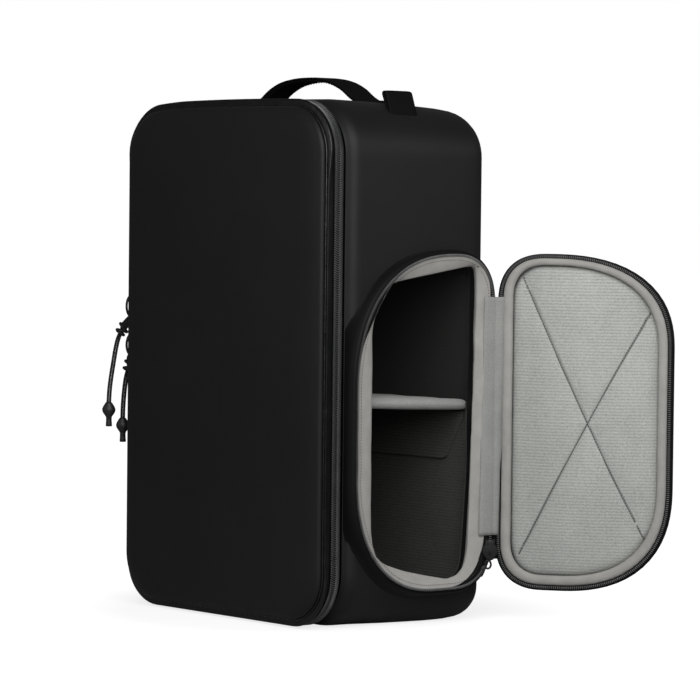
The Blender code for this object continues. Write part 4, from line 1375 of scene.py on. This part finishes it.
def make_hitch(which, places, spine):
    """The knot of the doubled cord under the ring."""
    knot_at = spine[5]
    axis = spine[7] - spine[3]
    axis /= np.linalg.norm(axis)
    side = VIEW_RIGHT - axis * np.dot(VIEW_RIGHT, axis)
    side /= np.linalg.norm(side)
    front = np.cross(axis, side)
    parts = []
    for tilt, shift, wide in ((0.45, -0.0017, 0.0043), (-0.35, 0.0013, 0.0042), (0.1, 0.0036, 0.0034)):
        coil = []
        for a in turns(26):
            coil.append(knot_at + axis * (shift + math.cos(a) * tilt * wide) + side * (math.cos(a) * wide)
                        + front * (math.sin(a) * wide * 0.8))
        v, f = tube(coil, 0.0015, 8, closed=True)
        parts.append((v, f, 0))
    top = ring_middle(places) - UP * 0.0086
    for way in (-1, 1):
        points = [
            top + VIEW_RIGHT * (0.0004 * way) + front * 0.0012,
            top + VIEW_RIGHT * (0.0026 * way) - UP * 0.0016,
            knot_at + side * (0.0026 * way) - axis * 0.004,
            knot_at + side * (0.0012 * way),
        ]
        v, f = tube(smooth_line(points, 14), 0.0011, 8)
        parts.append((v, f, 0))
    verts, faces, picks = join(*parts)
    knot = new_piece("hitch_" + which, verts, faces, ["cord"], picks)
    return knot


def make_cord_end(which, tip):
    """Moulded end: a bulb with a short tail."""
    down = np.array([0.02, 0.0, -1.0])
    profile = [(0.0019, 0.0012), (0.0030, 0.0002), (0.0042, -0.0016), (0.0054, -0.0036), (0.0061, -0.0056),
               (0.0058, -0.0078), (0.0046, -0.0100), (0.0032, -0.0118), (0.0026, -0.0132), (0.0026, -0.0160),
               (0.0028, -0.0190), (0.0029, -0.0208), (0.0024, -0.0212)]
    rings = []
    for radius, drop in profile:
        deep = 0.78 if radius > 0.004 else 1.0
        ring = []
        for a in turns(24):
            away = VIEW_DEPTH * (math.sin(a) * radius * deep)
            ring.append(tip + VIEW_RIGHT * (math.cos(a) * radius) + away - down * drop)
        rings.append(ring)
    v, f = skin(rings, caps=True)
    end = new_piece("end_" + which, v, f, ["rubber"])
    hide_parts("cord_end_" + which)
    return end


def make_pull(which, places):
    make_front_slider(which, places)
    make_ring(which, places)
    spine = smooth_line([(x, depth_y(depth), z) for x, depth, z in places["route"]], 34)
    strands = make_strands(which, spine)
    knot = make_hitch(which, places, spine)
    end = make_cord_end(which, spine[-1])
    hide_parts("pull_cord_" + which)


# Place of the door's zip slider, and the directions out of and across it
SLIDER_AT = np.array([0.1554, depth_y(0.1825), 0.0625])
SLIDER_OUT = np.array([0.766, -0.643, 0])
SLIDER_ACROSS = np.array([0.643, 0.766, 0])


def make_door_slider():
    shape = [(-0.0040, 0.0082), (0.0040, 0.0082), (0.0038, 0.0045), (0.0062, 0.0012), (0.0066, -0.0016),
             (0.0052, -0.0050), (0.0028, -0.0078), (0.0, -0.0090), (-0.0028, -0.0078), (-0.0052, -0.0050),
             (-0.0066, -0.0016), (-0.0062, 0.0012), (-0.0038, 0.0045)]
    start = SLIDER_AT + SLIDER_OUT * 0.0030
    rings = []
    for level, share in ((0.0, 1.02), (0.0008, 1.09), (0.0022, 1.09), (0.0031, 1.01), (0.0034, 0.88)):
        base = start + SLIDER_OUT * level
        rings.append([base + SLIDER_ACROSS * (u * share) + UP * (z * share) for u, z in shape])
    v, f = skin(rings, caps=True)
    face = start + SLIDER_OUT * 0.0034
    ridge = [face + UP * z for z in np.linspace(0.0010, -0.0045, 8)]
    rv, rf = tube(ridge, [0.0006, 0.0010, 0.0012, 0.0012, 0.0012, 0.0012, 0.0010, 0.0006])
    bars = []
    for k in range(3):
        level = face + UP * (0.0040 + 0.0012 * k)
        line = [level + SLIDER_ACROSS * u for u in np.linspace(-0.0024, 0.0024, 5)]
        bars.append((*tube(line, 0.00035, 6), 0))
    verts, faces, picks = join((v, f, 0), (rv, rf, 0), *bars)
    piece = new_piece("door_zip_slider", verts, faces, ["plastic"], picks)
    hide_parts("door_slider")


def make_door_tab():
    loop = []
    at = SLIDER_AT + SLIDER_OUT * 0.0048 - SLIDER_ACROSS * 0.0016 - UP * 0.0128
    for a in turns(26):
        loop.append(at + SLIDER_ACROSS * (0.0027 * math.cos(a)) + UP * (0.0036 * math.sin(a)))
    v, f = tube(loop, 0.0009, 8, closed=True)
    lean = -SLIDER_ACROSS * 0.42 - UP * 0.907
    wide = SLIDER_ACROSS * 0.907 - UP * 0.42
    top = SLIDER_AT + SLIDER_OUT * 0.0054 - SLIDER_ACROSS * 0.0044 - UP * 0.0142
    rows = []
    for far, half, thick in ((-0.0008, 0.0010, 0.0006), (0.0006, 0.0019, 0.0010), (0.0030, 0.0022, 0.0011),
                             (0.0066, 0.0024, 0.0011), (0.0090, 0.0022, 0.0010), (0.0100, 0.0012, 0.0006)):
        row = []
        for a in turns(16):
            sideways, outwards = rounded(a, 0.5)
            row.append(top + lean * far + wide * (half * sideways) + SLIDER_OUT * (thick * outwards))
        rows.append(row)
    tv, tf = skin(rows, caps=True)
    v, f, _ = join((v, f, 0), (tv, tf, 0))
    tab = new_piece("door_zip_tab", v, f, ["plastic"])
    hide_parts("door_pull")


# Back
BACK_Y = depth_y(DEPTH) + 0.0003


def make_back():
    rings = []
    rows = [(0.0, 0.0), (-0.0004, 0.0016), (0.0, 0.0034), (0.0016, 0.0052), (0.0044, 0.0066)]
    rows += [(0.009, 0.0076), (0.018, 0.0083), (0.032, 0.0086), (0.05, 0.0087), (0.066, 0.0087)]
    for inset, level in rows:
        ring = []
        r = max(0.026 - inset, 0.004)
        hx = 0.074 - inset - r
        hz = 0.160 - inset - r
        for cx, cz, begin in ((hx, -hz, -90), (hx, hz, 0), (-hx, hz, 90), (-hx, -hz, 180)):
            for a in np.linspace(0, 90, 12):
                turn = math.radians(begin + a)
                ring.append((cx + r * math.cos(turn), BACK_Y + level, 0.228 + cz + r * math.sin(turn)))
        rings.append(ring)
    verts, faces = skin(rings, caps=True)
    panel = new_piece("back_pad", verts, faces, ["mesh"])
    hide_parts("back_panel")


def make_straps():
    flat = BACK_Y + 0.0045
    half = [(0.050, flat, 0.4230), (0.050, flat, 0.4080), (0.051, flat + 0.0055, 0.3960),
            (0.055, flat + 0.0125, 0.3800), (0.061, flat + 0.0165, 0.3500), (0.068, flat + 0.0170, 0.3000),
            (0.076, flat + 0.0150, 0.2400), (0.083, flat + 0.0120, 0.1900), (0.086, flat + 0.0110, 0.1650)]
    widths = np.interp(np.linspace(0, 1, 60), np.linspace(0, 1, 9),
                       [0.052, 0.056, 0.060, 0.062, 0.062, 0.062, 0.058, 0.048, 0.040])
    for which, way in (("left", -1), ("right", 1)):
        path = smooth_line([(way * x, y, z) for x, y, z in half], 60)
        (v, f), _ = strip_mesh(path, widths, 0.0085, (1, 0, 0))
        strap = new_piece("strap_" + which, v, f, ["mesh"])
        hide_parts("shoulder_strap_" + which)


def finish_rest():
    """Gives the small hidden CAD pieces that stay as they are their materials."""
    for node, mat in (("strap_buckle_left", "plastic"), ("strap_buckle_right", "plastic"),
                      ("strap_webbing_left", "web_up"), ("strap_webbing_right", "web_up")):
        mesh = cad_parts[node].data
        mesh.materials.clear()
        mesh.materials.append(MATS[mat])


set_camera()
for which, places in PULLS.items():
    make_pull(which, places)
set_world()
add_area("key", 54, 26, 1.15, 1.0, 0.9, 11.4)
add_area("back", 118, 23, 1.2, 1.0, 0.5, 2.3)
add_area("left", -15, 16, 1.6, 0.9, 0.9, 2.3)
make_floor()
for make in (
    make_body, make_lining, make_lid, make_piping, make_front_zip, make_collar, make_opening_zip, make_facing,
    make_door_back, make_door_zip, make_door_binding, make_door_pad, make_hinge, make_shelf, make_flap,
    make_handle, make_side_loop, make_door_slider, make_door_tab, make_back, make_straps, finish_rest,
):
    make()
